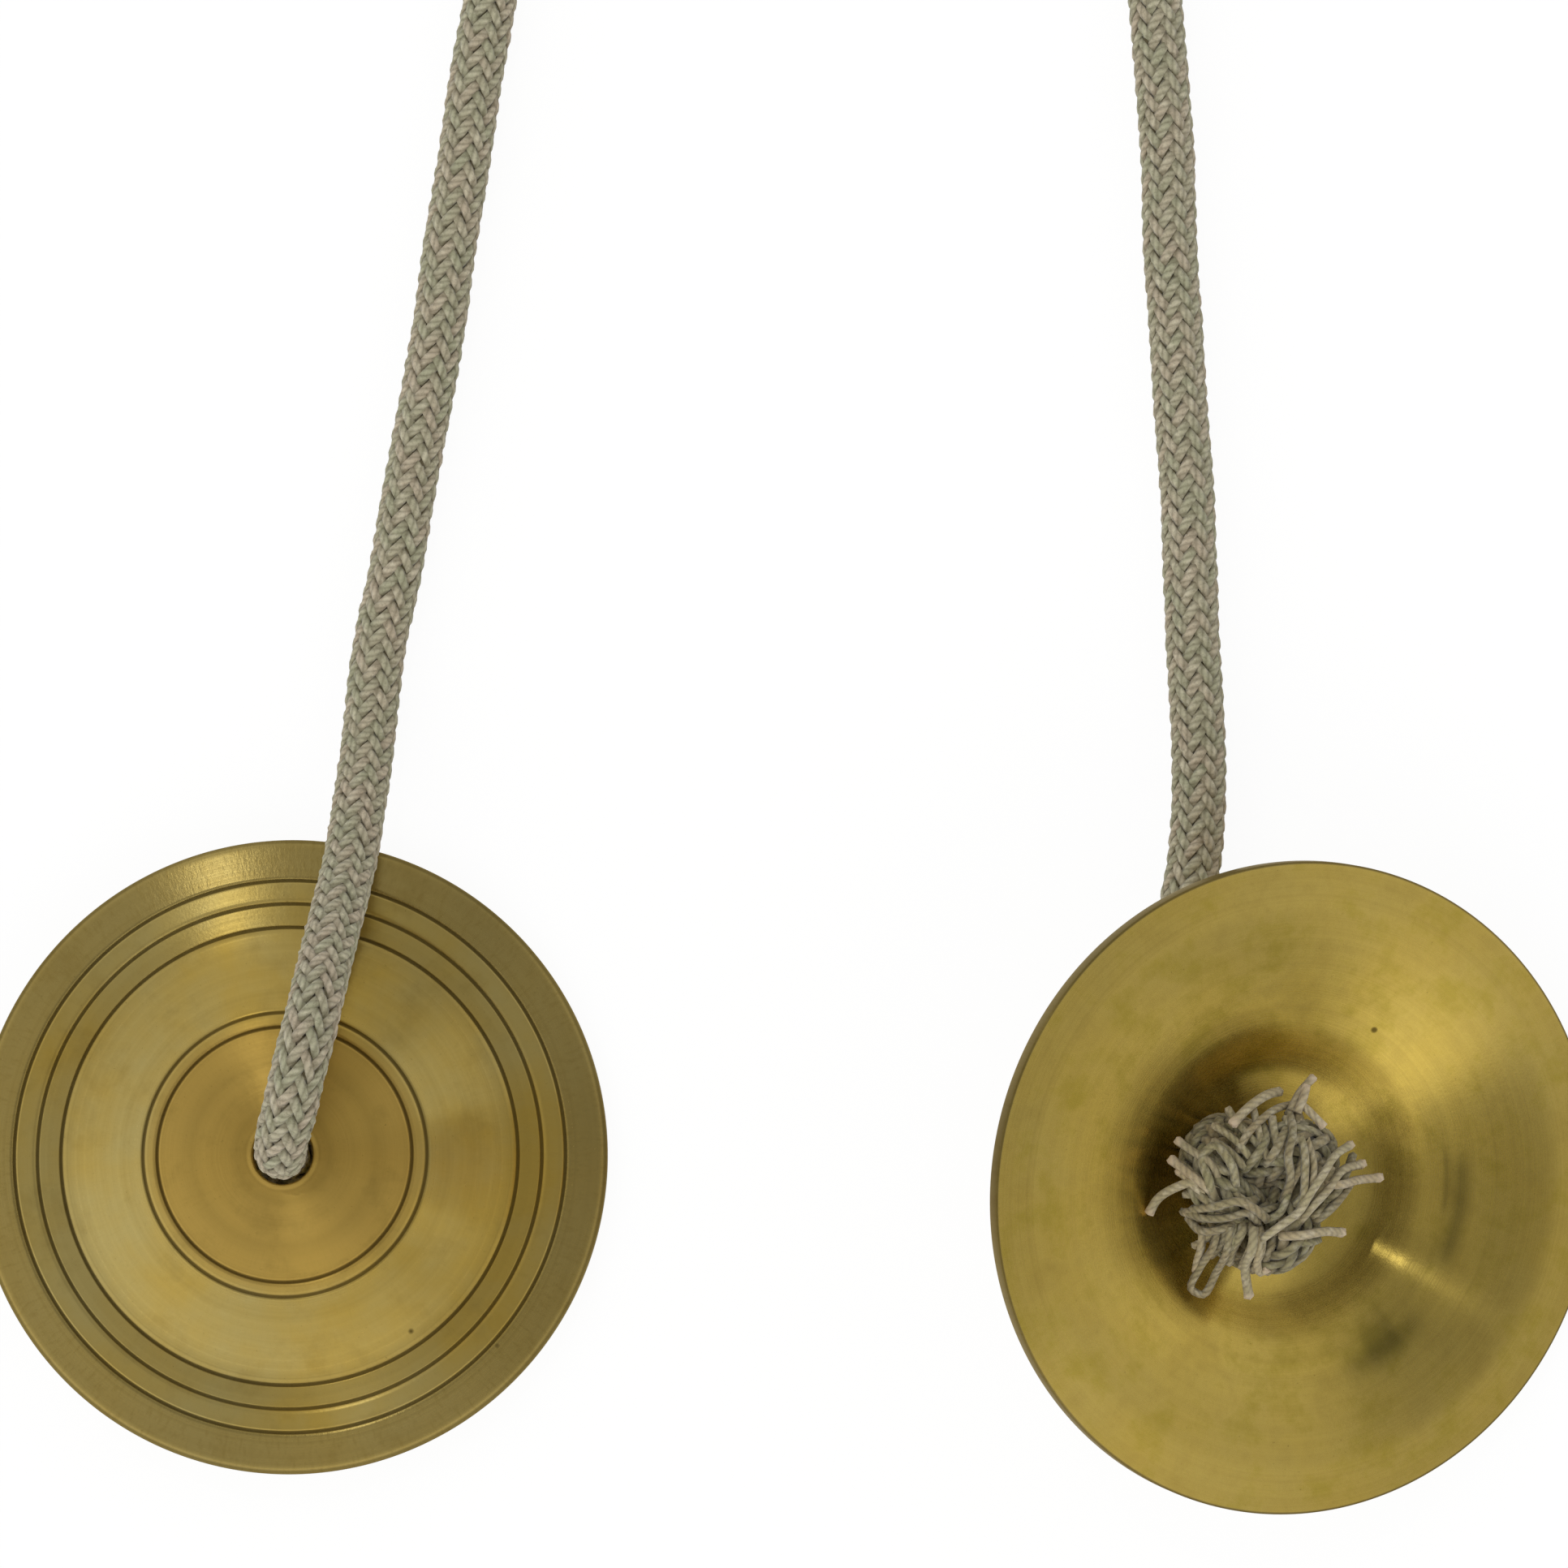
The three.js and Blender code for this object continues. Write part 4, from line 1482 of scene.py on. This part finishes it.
@dataclass(frozen=True)
class Glow:
    """A soft patch of light on the room's walls, round a compass angle and between two heights.

    A height is the upward part of a direction, from 0 level to 1 straight up.
    """

    azimuth: float
    width: float
    low: float
    high: float
    strength: float
    full: float = 0.3
    fade_above: float = 0.1
    fade_below: float = 0.22

    def shine(
        self, sky: NodeKit, heading: bpy.types.NodeSocket, height: bpy.types.NodeSocket
    ) -> bpy.types.NodeSocket:
        """Gives the patch's strength in each direction.

        Args:
            heading: the direction's level part, at length 1.
            height: the direction's upward part.

        Returns:
            The strength's socket.
        """
        turn = math.radians(self.azimuth)
        near = sky.add("ShaderNodeVectorMath", operation="DOT_PRODUCT", in_Vector=heading)
        near.inputs[1].default_value = (math.cos(turn), math.sin(turn), 0.0)
        across = sky.ease(near.outputs["Value"], 1.0 - self.width, 1.0 - self.width * self.full)
        under = sky.ease(height, self.high + self.fade_above, self.high)
        over = sky.ease(height, self.low - self.fade_below, self.low)
        patch = sky.math("MULTIPLY", across, sky.math("MULTIPLY", under, over))
        return sky.math("MULTIPLY", patch, self.strength)


GLOWS = (
    Glow(azimuth=246.0, width=0.95, low=0.4, high=0.76, strength=0.3),
    Glow(azimuth=268.0, width=0.7, low=0.52, high=0.75, strength=0.34),
    Glow(azimuth=316.0, width=0.5, low=0.6, high=0.74, strength=0.24),
    Glow(azimuth=5.0, width=0.35, low=0.1, high=0.66, strength=0.34),
    Glow(azimuth=340.0, width=0.4, low=-0.1, high=0.14, strength=0.3),
    Glow(azimuth=180.0, width=0.2, low=0.4, high=0.78, strength=0.1),
)


@dataclass(frozen=True)
class Room:
    """A white floor under a soft room.

    seen and mirrored are how much of the floor's own glow the camera and the brass get. walls is
    how much brighter than the ceiling the walls are, and the leans are how much brighter the room
    gets to its east and north.
    """

    floor_size: float = 1500.0
    floor_colour: Colour = colour(244, 244, 244)
    floor_roughness: float = 0.8
    floor_glow: float = 1.06
    seen: float = 0.88
    mirrored: float = 0.6
    tint: Colour = (1.0, 0.99, 0.97, 1.0)
    ceiling: float = 0.38
    walls: float = 0.14
    ceiling_fade: tuple[float, float] = (0.9, 0.7)
    lean_x: float = -0.24
    lean_y: float = 0.08

    def lay_floor(self) -> None:
        """Lays the floor, white to the camera and still with the pair's shadow on it."""
        work = bmesh.new()
        bmesh.ops.create_grid(work, x_segments=1, y_segments=1, size=self.floor_size)
        floor = piece_from(work, "floor", smooth=False)
        material, kit, shader = new_material("white_floor")
        shader.inputs["Base Color"].default_value = self.floor_colour
        shader.inputs["Roughness"].default_value = self.floor_roughness
        lit = kit.add("ShaderNodeEmission", in_Strength=self.floor_glow)
        path = kit.add("ShaderNodeLightPath")
        seen = kit.math("MULTIPLY", path.outputs["Is Camera Ray"], self.seen)
        mirrored = kit.math("MULTIPLY", path.outputs["Is Glossy Ray"], self.mirrored)
        both = kit.add("ShaderNodeMixShader")
        kit.feed(both.inputs[0], kit.math("MAXIMUM", seen, mirrored))
        kit.feed(both.inputs[1], shader.outputs[0])
        kit.feed(both.inputs[2], lit.outputs[0])
        output = next(n for n in material.node_tree.nodes if n.type == "OUTPUT_MATERIAL")
        kit.feed(output.inputs[0], both.outputs[0])
        floor.data.materials.append(material)

    def light(self) -> None:
        """Lights the room from its ceiling, its walls and their glows."""
        world = bpy.data.worlds.new("soft_room")
        world.use_nodes = True
        background = next(n for n in world.node_tree.nodes if n.type == "BACKGROUND")
        sky = NodeKit(world.node_tree)
        toward = sky.add("ShaderNodeTexCoord").outputs["Generated"]
        east, north, up = sky.add("ShaderNodeSeparateXYZ", in_Vector=toward).outputs
        level = sky.add("ShaderNodeCombineXYZ", in_X=east, in_Y=north).outputs[0]
        heading = sky.add("ShaderNodeVectorMath", operation="NORMALIZE", in_Vector=level).outputs[0]
        lean = sky.math("MULTIPLY_ADD", east, self.lean_x, sky.math("MULTIPLY", north, self.lean_y))
        plain = sky.math("MULTIPLY_ADD", sky.ease(up, *self.ceiling_fade), self.walls, self.ceiling)
        total = sky.math("ADD", plain, lean)
        for glow in GLOWS:
            total = sky.math("ADD", total, glow.shine(sky, heading, up))
        background.inputs[0].default_value = self.tint
        sky.feed(background.inputs[1], total)
        bpy.context.scene.world = world


if __name__ == "__main__":
    main()
